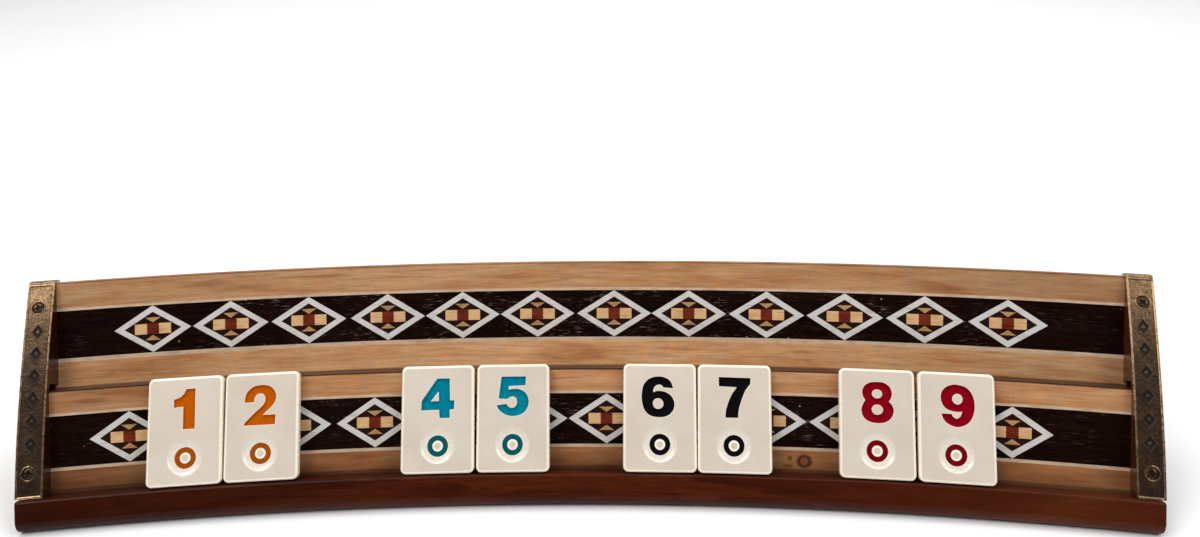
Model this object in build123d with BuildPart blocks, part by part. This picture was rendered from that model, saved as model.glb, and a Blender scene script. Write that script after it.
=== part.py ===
from build123d import *
import math
import os

os.makedirs("parts", exist_ok=True)

# ---------------------------------------------------------------- driving sizes, mm
ARC_R = 1350.0      # plan radius of the section's datum line
ARC_Y = -1375.5535   # y of the arc's centre, which puts the box's middle at y = 0
END = 8.90          # half angle of the rack
REST_END = 8.545    # half angle of the boards that stand between the end boards
STOP_IN = 8.50      # inner edge of the brass stops
LEAN = 26.0         # panel lean from vertical
TOP_Y, TOP_Z = 57.5, 76.0   # top edge of the sloping panel
STEP_T = 41.4       # slope length down to the step
STEP_N = 9.5        # how far the lower panel stands in front of the upper one
LEDGE_T = 79.6      # slope length down to the ledge
LIP_N = 19.5        # front lip of the ledge
BACK_Y = 66.0       # outer back face
BOARD_Y = 56.0      # inner face of the back board
VENEER = 1.0        # inlay thickness
STAR_Z = 36.0       # height of the back inlay's centre line
TILE_W, TILE_H, TILE_D = 27.9, 40.1, 4.0
TILE_T, TILE_N, TILE_LEAN = 79.5, 15.4, 8.5     # foot of a tile, and how much further back than the panel it leans

S, C = math.sin(math.radians(LEAN)), math.cos(math.radians(LEAN))
ARC = Axis((0, ARC_Y, 0), (0, 0, 1))


def sec(y, z):
    return (ARC_R + y, z)


def P(t, n):
    """Section point t down the slope from the top edge and n towards the tile side."""
    return sec(TOP_Y - S * t - C * n, TOP_Z - C * t + S * n)


def radial(a):
    """Vertical plane through the arc's axis, a degrees to the right of straight back."""
    s, c = math.sin(math.radians(a)), math.cos(math.radians(a))
    return Plane(origin=(0, ARC_Y, 0), x_dir=(s, c, 0), z_dir=(c, -s, 0))


def on_panel(a, t, n, turn=0.0):
    """Plane on the panel at angle a, looking out of it; turn tips its normal up the slope."""
    s, c = math.sin(math.radians(a)), math.cos(math.radians(a))
    r, z = P(t, n)
    k = math.radians(LEAN + turn)
    nr, nz = -math.cos(k), math.sin(k)
    return Plane(origin=(r * s, ARC_Y + r * c, z), x_dir=(c, -s, 0), z_dir=(nr * s, nr * c, nz))


def circle3(p, q, r):
    """Centre and radius of the circle through three points."""
    ax, ay, bx, by, cx, cy = *p, *q, *r
    d = 2 * (ax * (by - cy) + bx * (cy - ay) + cx * (ay - by))
    ux = ((ax**2 + ay**2) * (by - cy) + (bx**2 + by**2) * (cy - ay) + (cx**2 + cy**2) * (ay - by)) / d
    uy = ((ax**2 + ay**2) * (cx - bx) + (bx**2 + by**2) * (ax - cx) + (cx**2 + cy**2) * (bx - ax)) / d
    return (ux, uy), math.hypot(ax - ux, ay - uy)


def mirrored(pts):
    return [(-x, y) for x, y in pts][::-1]


BACK = Plane(origin=(0, ARC_Y + ARC_R + BACK_Y, STAR_Z), x_dir=(-1, 0, 0), z_dir=(0, 1, 0))

# ---------------------------------------------------------------- tile-side inlays
UPPER = dict(n=0.0, t=(10.45, 11.5, 30.0, 31.5), half_w=14.8, half_h=9.15, in_w=10.95, in_h=6.65,
             at=[-7.01, -5.77, -4.51, -3.22, -1.99, -0.76, 0.50, 1.72, 2.98, 4.23, 5.49, 6.77])
LOWER = dict(n=STEP_N, t=(49.9, 50.9, 70.2, 71.4), half_w=14.75, half_h=9.5, in_w=10.95, in_h=6.95,
             at=[-7.28, -6.02, -4.70, -3.38, -2.13, -0.87, 0.38, 1.69, 2.97, 4.25, 5.52, 6.76])
CREAM = [(2.3, -2.05), (6.95, -2.05), (6.95, 2.05), (2.3, 2.05)]
RED = [(-2.3, -2.1), (2.3, -2.1), (2.3, 2.1), (-2.3, 2.1)]
TAN = [(-3.0, 4.45), (0, 2.45), (3.0, 4.45)]
TAN_LOW = [(-3.0, -4.45), (3.0, -4.45), (0, -2.45)]


def rhomb(w, h):
    return [(-w, 0), (0, -h), (w, 0), (0, h)]


def row_planes(row):
    mid = (row["t"][1] + row["t"][2]) / 2
    return [on_panel(a, mid, row["n"]) for a in row["at"]]


def shell(row, t0, t1):
    n = row["n"]
    return [P(t0, n), P(t1, n), P(t1, n - VENEER), P(t0, n - VENEER)]


def row_piece(row, shapes, holes=()):
    """Flat outlines on each diamond's own plane, cut out of the curved veneer layer."""
    with BuildPart() as piece:
        with BuildSketch(*row_planes(row)):
            for pts in shapes:
                Polygon(*pts, align=None)
            for pts in holes:
                Polygon(*pts, align=None, mode=Mode.SUBTRACT)
        extrude(amount=3, both=True)
        with BuildSketch(radial(REST_END)):
            Polygon(*shell(row, row["t"][1], row["t"][2]), align=None)
        revolve(axis=ARC, revolution_arc=2 * REST_END, mode=Mode.INTERSECT)
    return piece.part


for prefix, row in (("upper", UPPER), ("lower", LOWER)):
    outer, inner = rhomb(row["half_w"], row["half_h"]), rhomb(row["in_w"], row["in_h"])
    bits = [CREAM, mirrored(CREAM), RED, TAN, TAN_LOW]

    with BuildPart() as band_veneer:
        with BuildSketch(radial(REST_END)):
            Polygon(*shell(row, row["t"][1], row["t"][2]), align=None)
        revolve(axis=ARC, revolution_arc=2 * REST_END)
        with BuildSketch(*row_planes(row)):
            Polygon(*outer, align=None)
        extrude(amount=3, both=True, mode=Mode.SUBTRACT)
    band_veneer.part.label = prefix + "_band_veneer"
    export_step(band_veneer.part, "parts/" + prefix + "_band_veneer.step")

    with BuildPart() as stringing:
        with BuildSketch(radial(REST_END)):
            Polygon(*shell(row, row["t"][0], row["t"][1]), align=None)
            Polygon(*shell(row, row["t"][2], row["t"][3]), align=None)
        revolve(axis=ARC, revolution_arc=2 * REST_END)
    stringing.part.label = prefix + "_stringing"
    export_step(stringing.part, "parts/" + prefix + "_stringing.step")

    for name, shapes, holes in (
        ("diamond_frames", [outer], [inner]),
        ("diamond_fields", [inner], bits),
        ("cream_squares", [CREAM, mirrored(CREAM)], ()),
        ("red_squares", [RED], ()),
        ("tan_triangles", [TAN, TAN_LOW], ()),
    ):
        piece = row_piece(row, shapes, holes)
        piece.label = prefix + "_" + name
        export_step(piece, "parts/" + prefix + "_" + name + ".step")

# ---------------------------------------------------------------- back inlay outlines
BURL_TOP = [(88.0, 23.6), (94.1, 22.7), (100.1, 20.0), (104.6, 16.4), (109.4, 12.1), (114.1, 7.2), (118.6, 3.2), (122.4, 0.4)]
BURL_LOW = [(122.4, -0.4), (116.4, -3.8), (109.8, -9.6), (103.6, -14.6), (97.4, -18.6), (91.5, -21.3), (86.0, -22.0)]
BURL = BURL_TOP + BURL_LOW + [(-x, y) for x, y in BURL_LOW[::-1]] + [(-x, y) for x, y in BURL_TOP[::-1]]
GROOVE_TOP = [(87.5, 27.0), (94.9, 26.1), (102.0, 23.0), (107.2, 18.8), (112.0, 14.4), (116.8, 9.6), (121.2, 5.6), (126.0, 2.6), (131.0, 1.4)]
GROOVE_LOW = [(131.0, -1.4), (124.4, -3.2), (118.2, -7.0), (112.0, -12.6), (105.8, -17.4), (99.0, -21.8), (92.4, -24.8), (85.5, -25.4)]
GROOVE = GROOVE_TOP + GROOVE_LOW + [(-x, y) for x, y in GROOVE_LOW[::-1]] + [(-x, y) for x, y in GROOVE_TOP[::-1]]


def stroke(pts, w0, w1):
    """Closed outline of a tapering line drawn through pts."""
    left, right = [], []
    for i, (x, y) in enumerate(pts):
        x0, y0 = pts[max(i - 1, 0)]
        x1, y1 = pts[min(i + 1, len(pts) - 1)]
        d = math.hypot(x1 - x0, y1 - y0)
        w = (w0 + (w1 - w0) * i / (len(pts) - 1)) / 2
        left.append((x - (y1 - y0) / d * w, y + (x1 - x0) / d * w))
        right.append((x + (y1 - y0) / d * w, y - (x1 - x0) / d * w))
    return left + right[::-1]


def scroll(cx, cy, up):
    """Centre line of one volute, from the stem round and into the eye."""
    pts = [(130.0, 0.6 * up), (137.0, 0.9 * up), (142.0, 2.4 * up)]
    for i in range(15):
        a = math.radians(-42 + 22.5 * i)
        r = 12.4 - 0.72 * i
        pts.append((cx + r * math.cos(a), up * (abs(cy) + r * math.sin(a))))
    return pts


OCT = [(14.9 * math.cos(math.radians(90 + 45 * k)), 14.9 * math.sin(math.radians(90 + 45 * k))) for k in range(8)]
OCT_IN = [(x * 13.9 / 14.9, y * 13.9 / 14.9) for x, y in OCT]
RAYS = []
for k in range(8):
    c, s = math.cos(math.radians(45 * k)), math.sin(math.radians(45 * k))
    RAYS.append([(13.1 * c, 13.1 * s), (4.1 * c - 1.4 * s, 4.1 * s + 1.4 * c), (4.1 * c + 1.4 * s, 4.1 * s - 1.4 * c)])
EYE = [(2.9 * math.cos(math.radians(45 * k)) * (1 if k % 2 else 0.62), 2.9 * math.sin(math.radians(45 * k)) * (1 if k % 2 else 0.62)) for k in range(8)]

KITE = [(30.0, 0), (65.0, -13.7), (79.9, 0), (65.0, 13.7)]
K_SMALL = [(33.2, 0), (44.6, -4.55), (54.8, 0), (44.6, 4.55)]
K_BROWN = [(46.6, 5.6), (57.0, 0.75), (57.6, 0.9), (51.9, 7.55)]
K_DARK = [(53.2, 8.1), (58.5, 1.1), (67.2, 10.3), (65.0, 12.4)]
K_CHECK = [(59.3, 0), (68.9, -9.7), (78.2, 0), (68.9, 9.7)]
K_WHITE_A = [(35.4, 0), (41.6, -2.45), (43.5, 0), (41.6, 2.45)]
K_WHITE_B = [(44.5, 0), (46.6, -2.55), (52.8, 0), (46.6, 2.55)]


def cell(a, b, side):
    """Diamond-set square of the checker, a and b steps along its two sides."""
    x, y, h = 68.9 + (a + b) * 3.25, (a - b) * 3.25, side / math.sqrt(2)
    return [(x - h, y), (x, y - h), (x + h, y), (x, y + h)]


def low(pts):
    return [(x, -y) for x, y in pts][::-1]


K_CENTRE = cell(0, 0, 4.9)
K_TAN = [cell(1, 1, 3.2), cell(-1, -1, 3.2), cell(1, -1, 3.2), cell(-1, 1, 3.2)]
K_RED = [cell(1, 0, 3.6), cell(-1, 0, 3.6), cell(0, 1, 3.6), cell(0, -1, 3.6)]
K_ALL_DARK = [K_SMALL, K_DARK, low(K_DARK), K_CHECK]
K_ALL_BROWN = [K_BROWN, low(K_BROWN)]


def back_piece(shapes, holes=(), depth=VENEER):
    """Flat outlines seen from behind, cut out of the curved back layer."""
    with BuildPart() as piece:
        with BuildSketch(BACK):
            for pts in shapes:
                Polygon(*pts, align=None)
            for pts in holes:
                Polygon(*pts, align=None, mode=Mode.SUBTRACT)
        extrude(amount=30, both=True)
        with BuildSketch(radial(END)):
            Polygon(sec(BACK_Y - depth, 2), sec(BACK_Y, 2), sec(BACK_Y, 70), sec(BACK_Y - depth, 70), align=None)
        revolve(axis=ARC, revolution_arc=2 * END, mode=Mode.INTERSECT)
    return piece.part


burl_blank = back_piece([BURL])
groove_blank = back_piece([GROOVE], [BURL], 0.9)
scroll_blanks = [back_piece([stroke([(sx * x, y) for x, y in scroll(136.5, 14.0 * up, up)], 3.0, 1.2)], (), 0.9)
                 for sx in (1, -1) for up in (1, -1)]

nodes = {
    "burl_panel": back_piece([BURL], [OCT, KITE, mirrored(KITE)]),
    "star_border": back_piece([OCT], [OCT_IN]),
    "star_ground": back_piece([OCT_IN], RAYS + [EYE]),
    "star_rays": back_piece(RAYS),
    "star_eye": back_piece([EYE]),
}
for side, flip in (("right", lambda s: s), ("left", mirrored)):
    nodes["kite_" + side + "_lines"] = back_piece([flip(KITE)], [flip(s) for s in K_ALL_DARK + K_ALL_BROWN])
    nodes["kite_" + side + "_ground"] = back_piece([flip(s) for s in K_ALL_DARK], [flip(s) for s in [K_WHITE_A, K_WHITE_B, K_CENTRE] + K_TAN + K_RED])
    nodes["kite_" + side + "_white"] = back_piece([flip(s) for s in [K_WHITE_A, K_WHITE_B, K_CENTRE]])
    nodes["kite_" + side + "_tan"] = back_piece([flip(s) for s in K_TAN])
    nodes["kite_" + side + "_brown"] = back_piece([flip(s) for s in K_ALL_BROWN + K_RED])
for name, piece in nodes.items():
    piece.label = name
    export_step(piece, "parts/" + name + ".step")

# ---------------------------------------------------------------- carcass boards
NOTCH_T = TOP_Y - BOARD_Y
T_BACK = (TOP_Y + 5 * C - BOARD_Y) / S     # where the upper rest's back meets the back board

with BuildPart() as back_board:
    with BuildSketch(radial(END)):
        with BuildLine():
            Polyline(sec(BACK_Y, 0), sec(BACK_Y, 65.5))
            ThreePointArc(sec(BACK_Y, 65.5), sec(63.3, 72.0), sec(TOP_Y, TOP_Z))
            Polyline(sec(TOP_Y, TOP_Z), P(0.8, 0), P(0.8, -5), P(T_BACK, -5), sec(BOARD_Y, 0), sec(BACK_Y, 0))
        make_face()
    revolve(axis=ARC, revolution_arc=2 * END)
    add(burl_blank, mode=Mode.SUBTRACT)
    add(groove_blank, mode=Mode.SUBTRACT)
    for blank in scroll_blanks:
        add(blank, mode=Mode.SUBTRACT)
back_board.part.label = "back_board"
export_step(back_board.part, "parts/back_board.step")

with BuildPart() as upper_rest:
    with BuildSketch(radial(REST_END)):
        Polygon(P(0.8, 0), P(10.45, 0), P(10.45, -VENEER), P(31.5, -VENEER), P(31.5, 0), P(50.0, 0), P(50.0, -5), P(0.8, -5), align=None)
    revolve(axis=ARC, revolution_arc=2 * REST_END)
upper_rest.part.label = "upper_rest"
export_step(upper_rest.part, "parts/upper_rest.step")

with BuildPart() as lower_rest:
    with BuildSketch(radial(REST_END)):
        Polygon(P(STEP_T, 0), P(STEP_T, STEP_N), P(49.9, STEP_N), P(49.9, STEP_N - VENEER), P(71.4, STEP_N - VENEER),
                P(71.4, STEP_N), P(LEDGE_T, STEP_N), P(LEDGE_T, 0), align=None)
    revolve(axis=ARC, revolution_arc=2 * REST_END)
lower_rest.part.label = "lower_rest"
export_step(lower_rest.part, "parts/lower_rest.step")

N_BED = (TOP_Y - S * LEDGE_T - 24.0) / C     # n where the ledge line meets the bottom board
with BuildPart() as front_ledge:
    with BuildSketch(radial(END)):
        with BuildLine():
            Polyline(P(LEDGE_T, N_BED), P(LEDGE_T, LIP_N - 1.2))
            ThreePointArc(P(LEDGE_T, LIP_N - 1.2), P(LEDGE_T + 0.351, LIP_N - 0.351), P(LEDGE_T + 1.2, LIP_N))
            Polyline(P(LEDGE_T + 1.2, LIP_N), P(87.6, LIP_N))
            ThreePointArc(P(87.6, LIP_N), sec(2.2, 1.9), sec(5.4, 0))
            Polyline(sec(5.4, 0), sec(24, 0), P(LEDGE_T, N_BED))
        make_face()
    revolve(axis=ARC, revolution_arc=2 * END)
front_ledge.part.label = "front_ledge"
export_step(front_ledge.part, "parts/front_ledge.step")

LID_GROOVE = [sec(27.7, 1.2), sec(54.3, 1.2), sec(54.3, 4.8), sec(27.7, 4.8)]
with BuildPart() as bottom_board:
    with BuildSketch(radial(REST_END)):
        Polygon(sec(24, 0), sec(BOARD_Y, 0), sec(BOARD_Y, 6), sec(24, 6), align=None)
    revolve(axis=ARC, revolution_arc=2 * REST_END)
    with BuildSketch(radial(7.8)):
        Polygon(sec(31, -1), sec(51, -1), sec(51, 7), sec(31, 7), align=None)
    revolve(axis=ARC, revolution_arc=7.8 + END, mode=Mode.SUBTRACT)
    with BuildSketch(radial(7.95)):
        Polygon(*LID_GROOVE, align=None)
    revolve(axis=ARC, revolution_arc=7.95 + END, mode=Mode.SUBTRACT)
bottom_board.part.label = "bottom_board"
export_step(bottom_board.part, "parts/bottom_board.step")

with BuildPart() as sliding_lid:
    with BuildSketch(radial(7.935)):
        Polygon(sec(28, 1.5), sec(54, 1.5), sec(54, 4.5), sec(28, 4.5), align=None)
    revolve(axis=ARC, revolution_arc=7.935 + 8.84)
    with BuildSketch(radial(-7.7)):
        Polygon(sec(35, 1.0), sec(47, 1.0), sec(47, 2.8), sec(35, 2.8), align=None)
    revolve(axis=ARC, revolution_arc=0.45, mode=Mode.SUBTRACT)
sliding_lid.part.label = "sliding_lid"
export_step(sliding_lid.part, "parts/sliding_lid.step")

# ---------------------------------------------------------------- brass strips, screws and end boards
STOP_TOP, STOP_MID, STOP_LOW = (-0.75, 1.0), (40.56, 11.8), (79.3, 17.53)
(ARC_T, ARC_N), STOP_R = circle3(STOP_TOP, STOP_MID, STOP_LOW)
(EDGE_Y, EDGE_Z), EDGE_R = circle3((TOP_Y, TOP_Z), (63.3, 72.0), (BACK_Y, 65.5))
EDGE_A = math.atan2(TOP_Z - EDGE_Z, TOP_Y - EDGE_Y)
STRIP = 1.0         # thickness of the brass strip, which caps the cheek and hooks over the top edge
HOOK = 4.0 / EDGE_R


def edge(r, a):
    return sec(EDGE_Y + r * math.cos(a), EDGE_Z + r * math.sin(a))


def stop_face(t):
    """n of the stop's outer face at slope length t, and its tilt in degrees."""
    n = ARC_N + math.sqrt(STOP_R**2 - (t - ARC_T) ** 2)
    return n, math.degrees(math.atan2(t - ARC_T, n - ARC_N))


def under_strip(t):
    """n of the strip's inner face at slope length t."""
    return ARC_N + math.sqrt((STOP_R - STRIP) ** 2 - (t - ARC_T) ** 2)


def screw_planes(side):
    out = []
    for t in (9.3, 70.3):
        n, tilt = stop_face(t)
        out.append(on_panel(side * 8.72, t, n, -tilt))
    return out


SCREW_LEN = {9.3: 8.2, 70.3: 13.0}


def screws(side, head_room, cross):
    """The two screws of one stop, or with head room above them, their holes."""
    with BuildPart() as piece:
        for plane, length in zip(screw_planes(side), SCREW_LEN.values()):
            spin = 0.0 if head_room else 0.65   # the screw is turned in its hole, so that their seams lie apart
            x_dir = plane.x_dir * math.cos(spin) + plane.y_dir * math.sin(spin)
            z_dir = plane.x_dir * math.sin(spin) - plane.y_dir * math.cos(spin)
            with BuildSketch(Plane(origin=plane.origin, x_dir=x_dir, z_dir=z_dir)):
                top = -0.12 if not head_room else 2.0
                Polygon((0, top), (2.3, top), (2.3, -0.35), (1.1, -1.6), (1.1, -length + 1.2), (0, -length), align=None)
            revolve(axis=Axis(plane.origin, plane.z_dir))
            if cross:
                with Locations(Location(plane)):
                    Box(2.6, 0.55, 1.6, mode=Mode.SUBTRACT)
                    Box(0.55, 2.6, 1.6, mode=Mode.SUBTRACT)
    return piece.part


for side, name in ((-1, "left"), (1, "right")):
    holes = screws(side, True, False)
    start = END if side > 0 else -STOP_IN

    with BuildPart() as end_stop:
        with BuildSketch(radial(start)):
            with BuildLine():
                Polyline(P(*STOP_TOP), edge(EDGE_R + STRIP, EDGE_A))
                ThreePointArc(edge(EDGE_R + STRIP, EDGE_A), edge(EDGE_R + STRIP, EDGE_A - HOOK / 2), edge(EDGE_R + STRIP, EDGE_A - HOOK))
                Polyline(edge(EDGE_R + STRIP, EDGE_A - HOOK), edge(EDGE_R, EDGE_A - HOOK))
                ThreePointArc(edge(EDGE_R, EDGE_A - HOOK), edge(EDGE_R, EDGE_A - HOOK / 2), sec(TOP_Y, TOP_Z))
                Polyline(sec(TOP_Y, TOP_Z), P(0.8, 0), P(0.8, under_strip(0.8)))
                ThreePointArc(P(0.8, under_strip(0.8)), P(40.0, under_strip(40.0)), P(79.3, under_strip(79.3)))
                Polyline(P(79.3, under_strip(79.3)), P(*STOP_LOW))
                ThreePointArc(P(*STOP_LOW), P(*STOP_MID), P(*STOP_TOP))
            make_face()
        revolve(axis=ARC, revolution_arc=END - STOP_IN)
        add(holes, mode=Mode.SUBTRACT)
    end_stop.part.label = "end_stop_" + name
    export_step(end_stop.part, "parts/end_stop_" + name + ".step")

    stop_screws = screws(side, False, True)
    stop_screws.label = "stop_screws_" + name
    export_step(stop_screws, "parts/stop_screws_" + name + ".step")

    with BuildPart() as end_board:
        with BuildSketch(radial(END if side > 0 else -REST_END)):
            Polygon(P(0.8, 0), P(STEP_T, 0), P(STEP_T, STEP_N), P(LEDGE_T, STEP_N), P(LEDGE_T, N_BED), sec(24, 0),
                    sec(BOARD_Y, 0), P(T_BACK, -5), P(0.8, -5), align=None)
        revolve(axis=ARC, revolution_arc=END - REST_END)
        with BuildSketch(radial(start)):
            with BuildLine():
                Polyline(P(0.8, under_strip(0.8)), P(0.8, 0), P(39.9, 0), P(38.5, 8.6), P(STEP_T, STEP_N), P(79.3, STEP_N), P(79.3, under_strip(79.3)))
                ThreePointArc(P(79.3, under_strip(79.3)), P(40.0, under_strip(40.0)), P(0.8, under_strip(0.8)))
            make_face()
        revolve(axis=ARC, revolution_arc=END - STOP_IN)
        for hole in holes.solids():
            add(hole, mode=Mode.SUBTRACT)
        if side < 0:
            with BuildSketch(radial(-REST_END + 0.1)):
                Polygon(*LID_GROOVE, align=None)
            revolve(axis=ARC, revolution_arc=END - REST_END + 0.2, mode=Mode.SUBTRACT)
    end_board.part.label = "end_board_" + name
    export_step(end_board.part, "parts/end_board_" + name + ".step")

# ---------------------------------------------------------------- tiles
TILES = {1: -6.329, 2: -5.126, 4: -2.323, 5: -1.113, 6: 1.241, 7: 2.430, 8: 4.655, 9: 5.869}
DISH_X = {1: 0.3, 2: -0.35, 4: 0.05, 5: -0.15, 6: 0.0, 7: -0.3, 8: -0.1, 9: -0.4}
tile_lean = math.radians(TILE_LEAN)
for number, angle in TILES.items():
    # a tile stands on its back bottom edge and leans against the edge of the step
    seat = on_panel(angle, TILE_T - math.cos(tile_lean) * TILE_H / 2, TILE_N - math.sin(tile_lean) * TILE_H / 2, TILE_LEAN)
    with BuildPart() as tile:
        with BuildSketch(seat):
            RectangleRounded(TILE_W, TILE_H, 1.9)
        extrude(amount=TILE_D)
        rims = [tile.faces().sort_by(Axis(seat.origin, seat.z_dir))[k].edges() for k in (0, -1)]
        fillet(rims[0] + rims[1], radius=0.7)
        with Locations(Location(Plane(origin=seat.origin + seat.z_dir * TILE_D + seat.x_dir * DISH_X[number] - seat.y_dir * 9.92, x_dir=seat.x_dir, z_dir=seat.z_dir))):
            Cylinder(6.3, 1.2, mode=Mode.SUBTRACT)
    tile.part.label = "tile_%d" % number
    export_step(tile.part, "parts/tile_%d.step" % number)
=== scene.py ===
import math

import bpy
import numpy as np
from mathutils import Matrix, Vector
from mathutils.geometry import delaunay_2d_cdt

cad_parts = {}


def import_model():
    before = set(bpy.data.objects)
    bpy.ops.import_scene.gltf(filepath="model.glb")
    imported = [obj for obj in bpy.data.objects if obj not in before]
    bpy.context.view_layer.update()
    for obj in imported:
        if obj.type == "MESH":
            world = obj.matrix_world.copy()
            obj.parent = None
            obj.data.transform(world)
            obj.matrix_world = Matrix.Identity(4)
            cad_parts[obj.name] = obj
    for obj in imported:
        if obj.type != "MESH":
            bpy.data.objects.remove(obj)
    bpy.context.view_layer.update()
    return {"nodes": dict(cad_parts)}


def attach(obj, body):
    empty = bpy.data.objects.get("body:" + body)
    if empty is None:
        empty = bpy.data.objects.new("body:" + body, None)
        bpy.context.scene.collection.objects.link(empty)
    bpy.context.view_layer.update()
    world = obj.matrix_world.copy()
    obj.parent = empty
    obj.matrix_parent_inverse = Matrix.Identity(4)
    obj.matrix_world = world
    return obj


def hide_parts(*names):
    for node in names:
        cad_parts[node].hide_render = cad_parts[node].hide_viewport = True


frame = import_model()
NODES = frame["nodes"]
SCENE = bpy.context.scene

# ------------------------------------------------------------------ sizes, mm, as in the CAD
ARC_R, ARC_Y = 1350.0, -1375.5535
END, REST_END, STOP_IN = 8.90, 8.545, 8.50
TOP_Y, TOP_Z = 57.5, 76.0
STEP_T, STEP_N, LEDGE_T, LIP_N = 41.4, 9.5, 79.6, 19.5
BACK_Y, BOARD_Y, STAR_Z = 66.0, 56.0, 36.0
S, C = math.sin(math.radians(26)), math.cos(math.radians(26))
D2R = math.pi / 180


def P(t, n):
    """Section point (y0, z): t down the slope from the top edge, n towards the tile side."""
    return (TOP_Y - S * t - C * n, TOP_Z - C * t + S * n)


def world(y0, z, a):
    """Points of the rack, in metres, from section coordinates in mm and angle in degrees."""
    y0, z, a = np.broadcast_arrays(np.asarray(y0, float), np.asarray(z, float), np.asarray(a, float))
    r = ARC_R + y0
    return np.stack([r * np.sin(a * D2R), ARC_Y + r * np.cos(a * D2R), z], -1) * 0.001


# ------------------------------------------------------------------ mesh helpers
def make_object(name, verts, faces, mats, face_mats=None, smooth=True, body="rack", weighted=True):
    me = bpy.data.meshes.new(name)
    me.from_pydata([tuple(map(float, v)) for v in verts], [], [tuple(int(i) for i in f) for f in faces])
    ob = bpy.data.objects.new(name, me)
    SCENE.collection.objects.link(ob)
    for m in mats:
        me.materials.append(m)
    if face_mats is not None:
        me.polygons.foreach_set("material_index", np.asarray(face_mats, np.int32))
    me.polygons.foreach_set("use_smooth", [smooth] * len(me.polygons))
    me.update()
    if smooth and weighted:
        wn = ob.modifiers.new("weighted", "WEIGHTED_NORMAL")
        wn.mode = "FACE_AREA_WITH_ANGLE"
        wn.weight = 60
        wn.keep_sharp = True
    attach(ob, body)
    return ob


def area2(p):
    p = np.asarray(p, float)
    q = np.roll(p, -1, 0)
    return float(np.sum(p[:, 0] * q[:, 1] - q[:, 0] * p[:, 1]) / 2)


def ccw(p):
    p = np.asarray(p, float)
    return p if area2(p) > 0 else p[::-1].copy()


def offset(p, d):
    """Moves a closed counter-clockwise outline outwards by d (a number, or one a point)."""
    p = np.asarray(p, float)
    e0 = p - np.roll(p, 1, 0)
    e1 = np.roll(p, -1, 0) - p
    e0 /= np.maximum(np.linalg.norm(e0, axis=1, keepdims=True), 1e-9)
    e1 /= np.maximum(np.linalg.norm(e1, axis=1, keepdims=True), 1e-9)
    n0 = np.stack([e0[:, 1], -e0[:, 0]], 1)
    n1 = np.stack([e1[:, 1], -e1[:, 0]], 1)
    n = n0 + n1
    n /= np.maximum(np.linalg.norm(n, axis=1, keepdims=True), 1e-9)
    k = np.maximum(np.sum(n * n0, 1), 0.5)
    return p + n * (np.asarray(d, float) / k)[:, None] if np.ndim(d) else p + n * (d / k)[:, None]


def rounded(corners, k=5):
    """Closed outline from (x, y) or (x, y, radius) corners."""
    out = []
    m = len(corners)
    for i in range(m):
        c = corners[i]
        p = np.array(c[:2], float)
        r = c[2] if len(c) > 2 else 0
        if r <= 0:
            out.append(p)
            continue
        a = np.array(corners[i - 1][:2], float) - p
        b = np.array(corners[(i + 1) % m][:2], float) - p
        la, lb = np.linalg.norm(a), np.linalg.norm(b)
        a, b = a / la, b / lb
        half = math.acos(max(-1, min(1, float(a @ b)))) / 2
        t = min(r / math.tan(half), la * 0.48, lb * 0.48)
        r = t * math.tan(half)
        cen = p + (a + b) / np.linalg.norm(a + b) * (r / math.sin(half))
        p0, p1 = p + a * t - cen, p + b * t - cen
        ang = math.atan2(p0[0] * p1[1] - p0[1] * p1[0], float(p0 @ p1))
        for j in range(k + 1):
            w = ang * j / k
            out.append(cen + np.array([p0[0] * math.cos(w) - p0[1] * math.sin(w), p0[0] * math.sin(w) + p0[1] * math.cos(w)]))
    return np.array(out)


def arc3(p, q, r, k):
    """Points on the circle through p, q, r, from p to r."""
    ax, ay, bx, by, cx, cy = *p, *q, *r
    d = 2 * (ax * (by - cy) + bx * (cy - ay) + cx * (ay - by))
    ux = ((ax**2 + ay**2) * (by - cy) + (bx**2 + by**2) * (cy - ay) + (cx**2 + cy**2) * (ay - by)) / d
    uy = ((ax**2 + ay**2) * (cx - bx) + (bx**2 + by**2) * (ax - cx) + (cx**2 + cy**2) * (bx - ax)) / d
    rad = math.hypot(ax - ux, ay - uy)
    a0, a1 = math.atan2(ay - uy, ax - ux), math.atan2(cy - uy, cx - ux)
    am = math.atan2(by - uy, bx - ux)
    wrap = lambda v: (v + math.pi) % (2 * math.pi) - math.pi
    da = wrap(am - a0) + wrap(a1 - am)
    return [(ux + rad * math.cos(a0 + da * i / k), uy + rad * math.sin(a0 + da * i / k)) for i in range(k + 1)]


def grid_faces(n_rows, n_cols, close_cols=True, flip=False):
    """Quads of a vertex grid stored row by row; each row is one section."""
    i = np.arange(n_rows - 1)[:, None]
    j = np.arange(n_cols if close_cols else n_cols - 1)[None, :]
    a = i * n_cols + j
    b = i * n_cols + (j + 1) % n_cols
    c = b + n_cols
    d = a + n_cols
    f = np.stack([a, b, c, d] if not flip else [a, d, c, b], -1)
    return f.reshape(-1, 4)


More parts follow.
